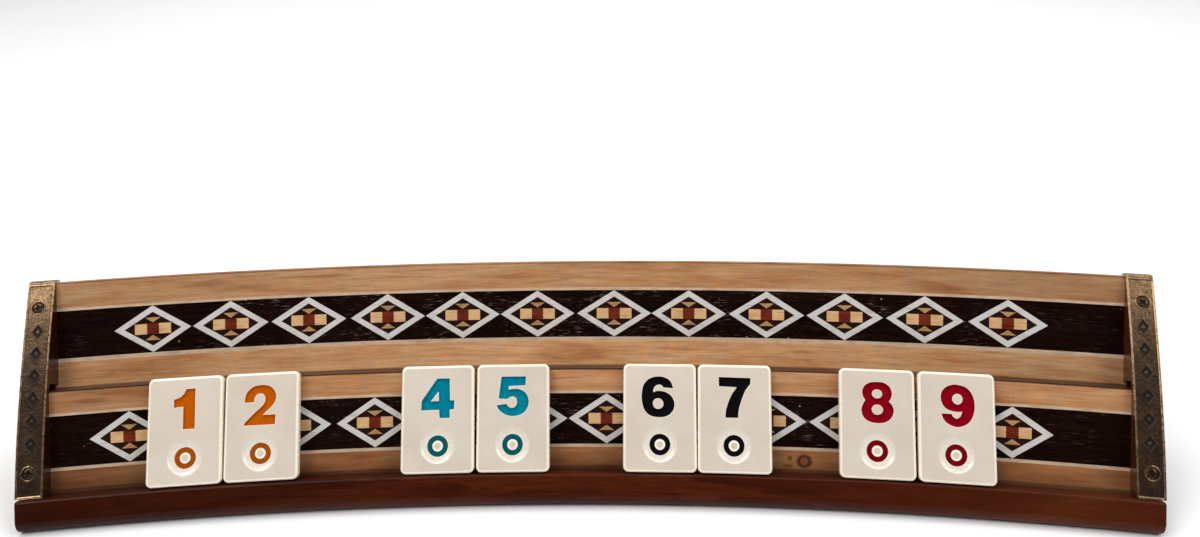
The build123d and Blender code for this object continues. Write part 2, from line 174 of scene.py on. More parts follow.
def sweep(name, outline, a0, a1, step, mats, end_r=0.4, body="rack", angles=None, shift=None, mat_of=None, k_end=4):
    """Revolves a closed section about the rack's axis, with its two ends rounded over."""
    sec = ccw(outline)
    radii = np.full(len(sec), float(end_r)) if np.ndim(end_r) == 0 else np.asarray(end_r, float)
    if angles is None:
        m = max(2, int(round(abs(a1 - a0) / step)))
        angles = np.linspace(a0, a1, m + 1)
    inner = [a for a in angles]
    deg = lambda mm: mm / (ARC_R + 40) / D2R
    rows, ang = [], []
    big = float(radii.max())
    inner = [a for a in angles if a0 + deg(big) * 1.02 < a < a1 - deg(big) * 1.02]
    ends = []
    for k in range(k_end + 1):
        w = math.pi / 2 * k / k_end
        ends.append((radii * (1 - math.sin(w)), radii * (1 - math.cos(w))))
    for ins, along in ends:                       # from the flat cap out to the full section
        rows.append(offset(sec, -ins))
        ang.append(a0 + deg(1) * (radii * 0 + (big - big) + along_fix(radii, ins)))
    for a in inner:
        rows.append(sec)
        ang.append(np.full(len(sec), a))
    for ins, along in ends[::-1]:
        rows.append(offset(sec, -ins))
        ang.append(a1 - deg(1) * along_fix(radii, ins))
    rows, ang = np.array(rows), np.array(ang)
    if shift is not None:
        rows = shift(rows, ang)
    v = world(rows[..., 0], rows[..., 1], ang).reshape(-1, 3)
    f = list(map(tuple, grid_faces(len(rows), len(sec), True, flip=True)))
    fm = [0] * len(f)
    if mat_of is not None:
        fm = mat_of(rows, ang)
    f.append(tuple(range(len(sec))))
    f.append(tuple((len(rows) - 1) * len(sec) + i for i in range(len(sec) - 1, -1, -1)))
    fm = list(fm) + [fm[0], fm[-1]]
    return make_object(name, v, f, mats, fm, body=body)


def along_fix(radii, ins):
    """How far in from the end a rounded edge has come when it has been inset by ins."""
    x = np.clip(1 - ins / np.maximum(radii, 1e-6), -1, 1)       # sin of the angle
    return radii * (1 - np.sqrt(np.clip(1 - x * x, 0, 1)))


def catmull(points, closed=True, k=5):
    """Smooth outline through points; one with a third value of 1 is a corner, and two corners join straight."""
    n = len(points)
    p = [np.array(q[:2], float) for q in points]
    c = [len(q) > 2 and q[2] == 1 for q in points]
    out = []
    for i in range(n if closed else n - 1):
        j = (i + 1) % n
        a, b = p[i], p[j]
        if c[i] and c[j]:
            out.append(a)
            continue
        ta = (b - a) if c[i] or (not closed and i == 0) else (b - p[i - 1]) / 2
        tb = (b - a) if c[j] or (not closed and j == n - 1) else (p[(j + 1) % n] - a) / 2
        la = np.linalg.norm(b - a)
        for q in ((ta, i), (tb, j)):
            m = np.linalg.norm(q[0])
            if m > 1.3 * la:
                q[0][:] = q[0] / m * 1.3 * la
        for s in range(k):
            w = s / k
            out.append((2 * w**3 - 3 * w**2 + 1) * a + (w**3 - 2 * w**2 + w) * ta + (3 * w**2 - 2 * w**3) * b + (w**3 - w**2) * tb)
    if not closed:
        out.append(p[-1])
    return np.array(out)


def inside(pts, loop):
    pts, loop = np.asarray(pts, float), np.asarray(loop, float)
    x, y = pts[:, 0], pts[:, 1]
    r = np.zeros(len(pts), bool)
    a, b = loop, np.roll(loop, -1, 0)
    for (x0, y0), (x1, y1) in zip(a, b):
        if y0 == y1:
            continue
        hit = ((y0 > y) != (y1 > y)) & (x < (x1 - x0) * (y - y0) / (y1 - y0) + x0)
        r ^= hit
    return r


def distance(pts, line, closed=True):
    """Distance from each point to a polyline."""
    pts = np.asarray(pts, float)
    a = np.asarray(line, float)
    b = np.roll(a, -1, 0) if closed else a[1:]
    a = a if closed else a[:-1]
    best = np.full(len(pts), 1e9)
    for p, q in zip(a, b):
        d = q - p
        w = np.clip(((pts - p) @ d) / max(float(d @ d), 1e-12), 0, 1)
        best = np.minimum(best, np.hypot(*(pts - p - w[:, None] * d).T))
    return best


def fill(loops, extra=()):
    """Triangles of the region inside the loops by the even-odd rule: (points, triangles, index of each loop point)."""
    pts, edges = [], []
    for lp in loops:
        base = len(pts)
        pts += [Vector((float(x), float(y))) for x, y in lp]
        edges += [(base + i, base + (i + 1) % len(lp)) for i in range(len(lp))]
    pts += [Vector((float(x), float(y))) for x, y in extra]
    vs, _, fs, orig, _, _ = delaunay_2d_cdt(pts, edges, [], 0, 1e-7)
    where = {}
    for i, o in enumerate(orig):
        for k in o:
            where[k] = i
    co = np.array([tuple(v) for v in vs])
    tri = np.array([tuple(f) for f in fs if len(f) == 3])
    cen = co[tri].mean(1)
    ins = np.zeros(len(cen), bool)
    for lp in loops:
        ins ^= inside(cen, lp)
    tri = tri[ins]
    a, b, c = co[tri[:, 0]], co[tri[:, 1]], co[tri[:, 2]]
    cr = (b[:, 0] - a[:, 0]) * (c[:, 1] - a[:, 1]) - (b[:, 1] - a[:, 1]) * (c[:, 0] - a[:, 0])
    tri[cr < 0] = tri[cr < 0][:, ::-1]
    tri = tri[np.abs(cr) > 1e-9]
    n, ids = 0, []
    for lp in loops:
        ids.append([where[n + i] for i in range(len(lp))])
        n += len(lp)
    return co, tri, ids


class Builder:
    """Collects vertices and faces with a material index each."""

    def __init__(self):
        self.v, self.f, self.m = [], [], []

    def ring(self, pts, z):
        base = len(self.v)
        z = np.broadcast_to(np.asarray(z, float), (len(pts),))
        self.v += [(float(x), float(y), float(h)) for (x, y), h in zip(pts, z)]
        return list(range(base, base + len(pts)))

    def strip(self, a, b, mat=0, flip=False):
        n = len(a)
        for i in range(n):
            j = (i + 1) % n
            q = (a[i], a[j], b[j], b[i])
            self.f.append(q[::-1] if flip else q)
            self.m.append(mat)

    def plate(self, rings, z, mat=0, flip=False, extra=()):
        """Fills the region between loops whose vertices already exist; rings is [(points, ids)]."""
        co, tri, ids = fill([r[0] for r in rings], extra)
        remap = {}
        for r, made in zip(rings, ids):
            for own, new in zip(r[1], made):
                remap[new] = own
        for i in range(len(co)):
            if i not in remap:
                remap[i] = len(self.v)
                self.v.append((float(co[i, 0]), float(co[i, 1]), float(z)))
        for t in tri:
            q = tuple(remap[i] for i in t)
            self.f.append(q[::-1] if flip else q)
            self.m.append(mat)


# ------------------------------------------------------------------ material helpers
def srgb(*c):
    out = []
    for v in c[:3]:
        v = v / 255
        out.append(v / 12.92 if v <= 0.04045 else ((v + 0.055) / 1.055) ** 2.4)
    return (*out, 1.0)


class Mat:
    """A node material, built by short calls."""

    def __init__(self, name):
        self.mat = bpy.data.materials.new(name)
        self.mat.use_nodes = True
        self.nt = self.mat.node_tree
        self.nt.nodes.clear()
        self.out = self.nt.nodes.new("ShaderNodeOutputMaterial")
        self.bsdf = self.nt.nodes.new("ShaderNodeBsdfPrincipled")
        self.nt.links.new(self.bsdf.outputs[0], self.out.inputs[0])
        self.x = 0

    def node(self, kind, **props):
        n = self.nt.nodes.new(kind)
        self.x += 40
        n.location = (-1800 + self.x, -300)
        for k, v in props.items():
            setattr(n, k, v)
        return n

    def put(self, sock, val):
        if isinstance(val, bpy.types.NodeSocket):
            self.nt.links.new(val, sock)
        else:
            sock.default_value = val

    def math(self, op, a, b=None, c=None, clamp=False):
        n = self.node("ShaderNodeMath", operation=op, use_clamp=clamp)
        for s, v in zip(n.inputs, (a, b, c)):
            if v is not None:
                self.put(s, v)
        return n.outputs[0]

    def vec(self, x, y, z):
        n = self.node("ShaderNodeCombineXYZ")
        for s, v in zip(n.inputs, (x, y, z)):
            self.put(s, v)
        return n.outputs[0]

    def scale(self, v, k):
        n = self.node("ShaderNodeVectorMath", operation="MULTIPLY")
        self.put(n.inputs[0], v)
        n.inputs[1].default_value = k
        return n.outputs[0]

    def add(self, a, b):
        n = self.node("ShaderNodeVectorMath", operation="ADD")
        self.put(n.inputs[0], a)
        self.put(n.inputs[1], b)
        return n.outputs[0]

    def noise(self, v, scale=1.0, detail=2.0, rough=0.5, dist=0.0, colour=False):
        n = self.node("ShaderNodeTexNoise")
        self.put(n.inputs["Vector"], v)
        n.inputs["Scale"].default_value = scale
        n.inputs["Detail"].default_value = detail
        n.inputs["Roughness"].default_value = rough
        n.inputs["Distortion"].default_value = dist
        return n.outputs["Color" if colour else "Fac"]

    def voronoi(self, v, scale=1.0, feature="F1", out="Distance", rand=1.0):
        n = self.node("ShaderNodeTexVoronoi", feature=feature)
        self.put(n.inputs["Vector"], v)
        n.inputs["Scale"].default_value = scale
        n.inputs["Randomness"].default_value = rand
        return n.outputs[out]

    def ramp(self, fac, stops, mode="LINEAR"):
        n = self.node("ShaderNodeValToRGB")
        n.color_ramp.interpolation = mode
        self.put(n.inputs[0], fac)
        els = n.color_ramp.elements
        while len(els) < len(stops):
            els.new(0.5)
        for e, (p, c) in zip(els, stops):
            e.position = p
            e.color = c if len(c) == 4 else (*c, 1)
        return n.outputs[0]

    def fade(self, x, lo, hi, a=0.0, b=1.0, smooth=True):
        """a below lo, b above hi, and a turn between."""
        n = self.node("ShaderNodeMapRange", clamp=True)
        n.interpolation_type = "SMOOTHSTEP" if smooth else "LINEAR"
        self.put(n.inputs["Value"], x)
        n.inputs["From Min"].default_value = lo
        n.inputs["From Max"].default_value = hi
        n.inputs["To Min"].default_value = a
        n.inputs["To Max"].default_value = b
        return n.outputs[0]

    def mix(self, fac, a, b, blend="MIX"):
        n = self.node("ShaderNodeMix", data_type="RGBA", blend_type=blend)
        n.clamp_factor = True
        self.put(n.inputs[0], fac)
        self.put(n.inputs[6], a)
        self.put(n.inputs[7], b)
        return n.outputs[2]

    def bump(self, height, strength=0.5, distance=0.0001, normal=None):
        n = self.node("ShaderNodeBump")
        n.inputs["Strength"].default_value = strength
        n.inputs["Distance"].default_value = distance
        self.put(n.inputs["Height"], height)
        if normal is not None:
            self.put(n.inputs["Normal"], normal)
        return n.outputs[0]

    def object_mm(self):
        return self.scale(self.node("ShaderNodeTexCoord").outputs["Object"], (1000.0, 1000.0, 1000.0))

    def arc(self):
        """(s, t, n, y0, z): mm along the rack, down the slope, out of the slope, across and up."""
        sep = self.node("ShaderNodeSeparateXYZ")
        self.nt.links.new(self.object_mm(), sep.inputs[0])
        x, y, z = sep.outputs
        yy = self.math("ADD", y, -ARC_Y)
        ang = self.math("ARCTAN2", x, yy)
        r = self.math("SQRT", self.math("ADD", self.math("MULTIPLY", x, x), self.math("MULTIPLY", yy, yy)))
        y0 = self.math("SUBTRACT", r, ARC_R)
        s = self.math("MULTIPLY", ang, 1390.0)
        dy = self.math("SUBTRACT", TOP_Y, y0)
        dz = self.math("SUBTRACT", TOP_Z, z)
        t = self.math("ADD", self.math("MULTIPLY", dy, S), self.math("MULTIPLY", dz, C))
        n = self.math("SUBTRACT", self.math("MULTIPLY", dy, C), self.math("MULTIPLY", dz, S))
        return s, t, n, y0, z

    def set(self, **kw):
        for k, v in kw.items():
            self.put(self.bsdf.inputs[k.replace("_", " ")], v)
        return self.mat

    def finish(self, colour, rough, normal=None, coat=0.0, coat_rough=0.1, metal=0.0, ior=1.5, spec=0.5):
        b = self.bsdf.inputs
        self.put(b["Base Color"], colour)
        self.put(b["Roughness"], rough)
        if normal is not None:
            self.put(b["Normal"], normal)
        b["Coat Weight"].default_value = coat
        b["Coat Roughness"].default_value = coat_rough
        b["Metallic"].default_value = metal
        b["IOR"].default_value = ior
        b["Specular IOR Level"].default_value = spec
        return self.mat


# ------------------------------------------------------------------ materials
def light_wood():
    m = Mat("light_wood_veneered")
    s, t, n, y0, z = m.arc()
    low = m.fade(n, 4.0, 6.0)                                   # 0 on the upper rest, 1 on the lower
    across = m.math("ADD", t, m.math("MULTIPLY", n, 1.7))
    v_fig = m.vec(m.math("MULTIPLY", s, 1 / 46), m.math("MULTIPLY", across, 1 / 6.5), 0.0)
    fig = m.noise(v_fig, 1.0, 4, 0.55, 0.8)
    v_mid = m.vec(m.math("MULTIPLY", s, 1 / 22), m.math("MULTIPLY", across, 1 / 1.5), 3.0)
    mid = m.noise(v_mid, 1.0, 4, 0.6, 0.5)
    v_fine = m.vec(m.math("MULTIPLY", s, 1 / 14), m.math("MULTIPLY", across, 1 / 0.36), 7.0)
    fine = m.noise(v_fine, 1.0, 5, 0.65, 0.2)
    v_pore = m.vec(m.math("MULTIPLY", s, 1 / 2.6), m.math("MULTIPLY", across, 1 / 0.24), 1.0)
    pore = m.noise(v_pore, 1.0, 2, 0.5)
    v_chatoyant_sheen = m.vec(m.math("MULTIPLY", s, 1 / 5.5), m.math("MULTIPLY", across, 1 / 16), 5.0)
    chatoyant_sheen = m.noise(v_chatoyant_sheen, 1.0, 3, 0.6, 0.6)
    up = m.ramp(fig, [(0.25, srgb(166, 106, 60)), (0.42, srgb(200, 148, 98)), (0.62, srgb(214, 170, 122)), (0.8, srgb(182, 122, 74))])
    # the darker copy below is painted shade on the lower rest: a third of it on its upper strip, all of it on its
    # bottom strip under the tiles and beside the ledge
    shaded_dn = m.ramp(fig, [(0.25, srgb(118, 72, 38)), (0.42, srgb(152, 102, 60)), (0.62, srgb(176, 126, 80)), (0.8, srgb(132, 82, 46))])
    col = m.mix(m.math("MULTIPLY", low, m.fade(t, 56.0, 68.0, 0.35, 1.0)), up, shaded_dn)
    col = m.mix(m.fade(mid, 0.42, 0.72, 0.0, 0.38), col, srgb(140, 76, 36), "MIX")
    col = m.mix(m.fade(fine, 0.42, 0.72, 0.0, 0.36), col, srgb(112, 62, 32))
    flame = m.noise(m.vec(m.math("MULTIPLY", s, 1 / 9.0), m.math("MULTIPLY", across, 1 / 2.4), 11.0), 1.0, 3, 0.6, 1.2)
    flame = m.math("MULTIPLY", m.fade(flame, 0.5, 0.72, 0.0, 0.24), m.math("SUBTRACT", 1.0, m.math("MULTIPLY", low, 0.8)))
    col = m.mix(flame, col, srgb(222, 172, 120))
    grit = m.noise(m.vec(m.math("MULTIPLY", s, 1 / 1.7), m.math("MULTIPLY", across, 1 / 0.7), 17.0), 1.0, 3, 0.7)
    col = m.mix(m.fade(grit, 0.54, 0.7, 0.0, 0.26), col, srgb(116, 64, 32))
    # painted sheen: soft-light bands of chatoyance across the grain lighten the colour
    col = m.mix(m.fade(chatoyant_sheen, 0.38, 0.66, 0.0, 0.32), col, srgb(232, 190, 146), "SOFT_LIGHT")
    col = m.mix(m.fade(pore, 0.66, 0.74, 0.0, 0.42), col, srgb(88, 48, 26))
    # knots: (s, t or n line, half length, half height, strength)
    for ks, kt, ls, lt, k in ((86.0, 75.6, 3.0, 1.9, 0.95), (80.0, 77.2, 3.5, 1.3, 0.8), (-121.0, 45.6, 13.0, 1.7, 0.85), (86.0, 35.0, 6.0, 1.2, 0.35), (-150.0, 4.5, 16.0, 1.8, 0.35), (-30.0, 5.5, 22.0, 1.6, 0.28), (-196.0, 76.5, 8.0, 1.1, 0.4), (-104.0, 3.5, 20.0, 1.3, 0.4), (-190.0, 46.0, 10.0, 2.0, 0.5), (128.0, 48.5, 14.0, 1.2, 0.3)):
        ds = m.math("MULTIPLY", m.math("SUBTRACT", s, ks), 1 / ls)
        dt = m.math("MULTIPLY", m.math("SUBTRACT", t, m.math("ADD", kt, m.math("MULTIPLY", ds, 0.9 if ks == -121.0 else 0.15))), 1 / lt)
        wob = m.math("MULTIPLY", m.math("SUBTRACT", mid, 0.5), 1.4)
        d = m.math("SQRT", m.math("ADD", m.math("MULTIPLY", ds, ds), m.math("MULTIPLY", m.math("ADD", dt, wob), m.math("ADD", dt, wob))))
        col = m.mix(m.fade(d, 0.15, 1.0, k, 0.0), col, srgb(112, 52, 20))
    # a ringed knot in the lower rest's bottom strip, and a small one beside it
    for ks, kt, kr in ((86.2, 75.4, 2.3), (80.6, 74.4, 0.7)):
        ds = m.math("MULTIPLY", m.math("SUBTRACT", s, ks), 1 / (kr * 1.15))
        dt = m.math("MULTIPLY", m.math("ADD", m.math("SUBTRACT", t, kt), m.math("MULTIPLY", m.math("SUBTRACT", mid, 0.5), 0.9)), 1 / kr)
        d = m.math("SQRT", m.math("ADD", m.math("MULTIPLY", ds, ds), m.math("MULTIPLY", dt, dt)))
        on = m.math("MULTIPLY", low, m.fade(d, 0.95, 1.35, 1.0, 0.0))
        col = m.mix(m.math("MULTIPLY", on, 0.9), col, m.ramp(d, [(0.0, srgb(120, 66, 30)), (0.42, srgb(150, 88, 40)), (0.62, srgb(104, 50, 18)), (0.8, srgb(44, 18, 8)), (1.0, srgb(96, 46, 18))]))
    # broad tone: the strips differ, and the rack's ends are darker than its middle, the lower rest's left end most;
    # this is partly the wood's own tone and partly painted shade, the fall of light towards the ends
    side = m.fade(m.math("ABSOLUTE", s), 50.0, 190.0, 0.0, 1.0)
    k_up = m.math("SUBTRACT", m.fade(t, 14.0, 29.0, 0.86, 1.2), m.math("MULTIPLY", side, m.fade(t, 14.0, 29.0, 0.1, 0.27)))
    k_up = m.math("SUBTRACT", k_up, m.math("MULTIPLY", m.fade(s, 70.0, 170.0, 0.0, 0.1), m.fade(t, 14.0, 29.0, 1.0, 0.2)))
    k_dn = m.math("SUBTRACT", m.fade(t, 56.0, 68.0, 1.04, 1.0), m.math("MULTIPLY", m.fade(s, -190.0, -90.0, 1.0, 0.0), m.fade(t, 56.0, 68.0, 0.2, 0.26)))
    # painted shade: the bottom strip of the lower rest darkens into the corner against the ledge
    k_dn = m.math("MULTIPLY", k_dn, m.math("MULTIPLY", m.fade(t, 74.5, 77.6, 1.0, 0.8), m.fade(t, 77.8, 78.8, 1.0, 0.4)))
    tone = m.math("ADD", m.math("MULTIPLY", k_up, m.math("SUBTRACT", 1.0, low)), m.math("MULTIPLY", k_dn, low))
    col = m.mix(1.0, col, m.vec(m.math("MULTIPLY", tone, 0.91), m.math("MULTIPLY", tone, 0.91), m.math("MULTIPLY", tone, 0.99)), "MULTIPLY")
    # the narrow top face of the lower rest is darkened, with the dark run a little over its edge; just above the step a
    # thin painted shadow lies on the upper rest
    step_dark_and_shadow = m.math("MULTIPLY", m.fade(n, 0.15, 0.5), m.fade(t, STEP_T + 0.3, STEP_T + 0.8, 1.0, 0.0))
    # painted shadow on the upper rest where it meets the step
    step_dark_and_shadow = m.math("MAXIMUM", step_dark_and_shadow, m.math("MULTIPLY", m.fade(n, 0.6, 1.2, 1.0, 0.0), m.fade(t, STEP_T - 0.7, STEP_T - 0.25, 0.0, 0.7)))
    col = m.mix(m.math("MULTIPLY", step_dark_and_shadow, 0.95), col, srgb(34, 12, 5))
    rough = m.fade(fine, 0.3, 0.8, 0.34, 0.48)
    h = m.math("SUBTRACT", m.math("MULTIPLY", fine, 0.5), m.fade(pore, 0.62, 0.76))
    return m.finish(col, rough, m.bump(h, 0.35, 0.00005), coat=0.16, coat_rough=0.18, spec=0.28)


def lacquer(name="red_brown_lacquer", base=((35, 10, 2), (58, 20, 5), (80, 33, 11), (43, 14, 4)), coat_rough=0.12, coat=0.1, spec=0.05):
    m = Mat(name)
    s, t, n, y0, z = m.arc()
    back = m.fade(y0, 60, 65.5)
    up = m.mix(1.0, z, z) if False else z
    a = m.math("ADD", y0, m.math("MULTIPLY", z, 0.83))
    v_fig = m.vec(m.math("MULTIPLY", s, 1 / 55), m.math("MULTIPLY", a, 1 / 9), m.math("MULTIPLY", z, 1 / 15))
    fig = m.noise(v_fig, 1.0, 4, 0.6, 1.1)
    v_mid = m.vec(m.math("MULTIPLY", s, 1 / 30), m.math("MULTIPLY", y0, 1 / 1.4), m.math("MULTIPLY", z, 1 / 1.4))
    mid = m.noise(v_mid, 1.0, 5, 0.62, 0.4)
    v_fine = m.vec(m.math("MULTIPLY", s, 1 / 16), m.math("MULTIPLY", y0, 1 / 0.35), m.math("MULTIPLY", z, 1 / 0.35))
    fine = m.noise(v_fine, 1.0, 4, 0.6)
    v_pore = m.vec(m.math("MULTIPLY", s, 1 / 3.2), m.math("MULTIPLY", y0, 1 / 0.25), m.math("MULTIPLY", z, 1 / 0.25))
    pore = m.noise(v_pore, 1.0, 2, 0.5)
    v_cloud = m.vec(m.math("MULTIPLY", s, 1 / 70), m.math("MULTIPLY", y0, 1 / 40), m.math("MULTIPLY", z, 1 / 26))
    cloud = m.noise(v_cloud, 1.0, 3, 0.5, 0.7)
    c0, c1, c2, c3 = (srgb(*c) for c in base)
    col = m.ramp(fig, [(0.28, c0), (0.46, c1), (0.6, c2), (0.78, c3)])
    col = m.mix(m.fade(mid, 0.42, 0.7, 0.0, 0.5), col, srgb(46, 10, 2))
    # darker towards the left end and lighter towards the right: partly the wood's tone, partly painted light falling
    # off along the rack
    col = m.mix(m.fade(s, -210.0, -20.0, 0.72, 0.0), col, srgb(18, 5, 1))
    col = m.mix(m.fade(s, 60.0, 200.0, 0.0, 0.3), col, srgb(112, 58, 26))
    col = m.mix(m.fade(fine, 0.5, 0.75, 0.0, 0.3), col, srgb(104, 46, 26))
    col = m.mix(m.fade(pore, 0.64, 0.74, 0.0, 0.5), col, srgb(22, 4, 0))
    col = m.mix(m.fade(cloud, 0.4, 0.65, 0.0, 0.45), col, srgb(60, 16, 6))
    rough = m.fade(mid, 0.3, 0.75, 0.24, 0.36)
    smudge = m.noise(m.vec(m.math("MULTIPLY", s, 1 / 24), m.math("MULTIPLY", y0, 1 / 14), m.math("MULTIPLY", z, 1 / 14)), 1.0, 3, 0.6)
    rough = m.math("ADD", rough, m.fade(smudge, 0.5, 0.75, 0.0, 0.07))
    orange = m.noise(m.vec(m.math("MULTIPLY", s, 1 / 2.1), m.math("MULTIPLY", y0, 1 / 2.1), m.math("MULTIPLY", z, 1 / 2.1)), 1.0, 2, 0.5)
    h = m.math("SUBTRACT", m.math("MULTIPLY", orange, 0.55), m.math("MULTIPLY", m.fade(pore, 0.62, 0.76), 0.7))
    return m.finish(col, rough, m.bump(h, 0.3, 0.00006), coat=coat, coat_rough=coat_rough, spec=spec)


def dark_veneer(name="dark_band_veneer", lift=1.0):
    m = Mat(name)
    s, t, n, y0, z = m.arc()
    a = m.math("ADD", t, m.math("MULTIPLY", n, 1.3))
    if lift > 1.5:
        a = z
    grain = m.noise(m.vec(m.math("MULTIPLY", s, 1 / 20), m.math("MULTIPLY", a, 1 / 0.55), 2.0), 1.0, 5, 0.62, 0.35)
    fleck = m.noise(m.vec(m.math("MULTIPLY", s, 1 / 3.6), m.math("MULTIPLY", a, 1 / 0.24), 9.0), 1.0, 2, 0.5)
    broad = m.noise(m.vec(m.math("MULTIPLY", s, 1 / 40), m.math("MULTIPLY", a, 1 / 5.0), 4.0), 1.0, 3, 0.5)
    col = m.ramp(grain, [(0.3, srgb(9, 3, 2)), (0.5, srgb(17, 7, 5)), (0.68, srgb(34, 15, 9)), (0.82, srgb(13, 5, 3))])
    col = m.mix(m.fade(broad, 0.45, 0.7, 0.0, 0.4), col, srgb(32, 15, 10))
    ends = m.fade(m.math("ABSOLUTE", s), 120.0, 175.0, 1.0, 0.22)
    col = m.mix(m.math("MULTIPLY", m.fade(fleck, 0.63, 0.72, 0.0, 0.4), ends), col, srgb(98, 70, 56))
    dash = m.noise(m.vec(m.math("MULTIPLY", s, 1 / 5.0), m.math("MULTIPLY", a, 1 / 0.3), 21.0), 1.0, 2, 0.5)
    where = m.noise(m.vec(m.math("MULTIPLY", s, 1 / 16), m.math("MULTIPLY", a, 1 / 7.0), 31.0), 1.0, 2, 0.5)
    col = m.mix(m.math("MULTIPLY", m.math("MULTIPLY", m.fade(dash, 0.61, 0.68, 0.0, 0.62), m.fade(where, 0.46, 0.6)), ends), col, srgb(150, 130, 116))
    spot = m.voronoi(m.vec(m.math("MULTIPLY", s, 1 / 7.0), m.math("MULTIPLY", a, 1 / 6.0), 3.0), 1.0)
    col = m.mix(m.fade(spot, 0.03, 0.055, 0.7, 0.0), col, srgb(206, 178, 150))
    rough = m.fade(grain, 0.3, 0.8, 0.36, 0.5)
    h = m.math("ADD", m.math("MULTIPLY", grain, 0.5), m.math("MULTIPLY", m.fade(fleck, 0.62, 0.74), -0.6))
    return m.finish(col, rough, m.bump(h, 0.3, 0.00004), coat=0.0, coat_rough=0.2, spec=0.02)


def veneer(name, stops, line=(0.34, 0.5), fleck=None, fleck_k=0.4, scale=(9.0, 0.5), coat=0.3, rough=(0.3, 0.42), spec=0.35):
    """Small inlay wood: each piece shifted a little in tone by where it lies."""
    m = Mat(name)
    o = m.object_mm()
    s, t, n, y0, z = m.arc()
    sep = m.node("ShaderNodeSeparateXYZ")
    m.nt.links.new(o, sep.inputs[0])
    a = m.math("ADD", t, m.math("MULTIPLY", n, 1.3))
    cell = m.noise(m.vec(m.math("MULTIPLY", s, 1 / 5.2), m.math("MULTIPLY", a, 1 / 4.0), 0.0), 1.0, 1, 0.4)
    grain = m.noise(m.vec(m.math("MULTIPLY", s, 1 / scale[0]), m.math("MULTIPLY", a, 1 / scale[1]), 2.0), 1.0, 5, 0.65, 0.5)
    pore = m.noise(m.vec(m.math("MULTIPLY", s, 1 / 1.3), m.math("MULTIPLY", a, 1 / 0.2), 5.0), 1.0, 2, 0.5)
    k = [(line[0] + (line[1] - line[0]) * i / (len(stops) - 1) * 1.2, srgb(*c)) for i, c in enumerate(stops)]
    col = m.ramp(m.math("ADD", m.math("MULTIPLY", grain, 0.7), m.math("MULTIPLY", cell, 0.3)), k)
    if fleck:
        col = m.mix(m.fade(pore, 0.6, 0.72, 0.0, fleck_k), col, srgb(*fleck))
    return m.finish(col, m.fade(grain, 0.3, 0.8, *rough), m.bump(m.math("SUBTRACT", grain, m.fade(pore, 0.6, 0.75)), 0.25, 0.00004), coat=coat, coat_rough=0.18, spec=spec)


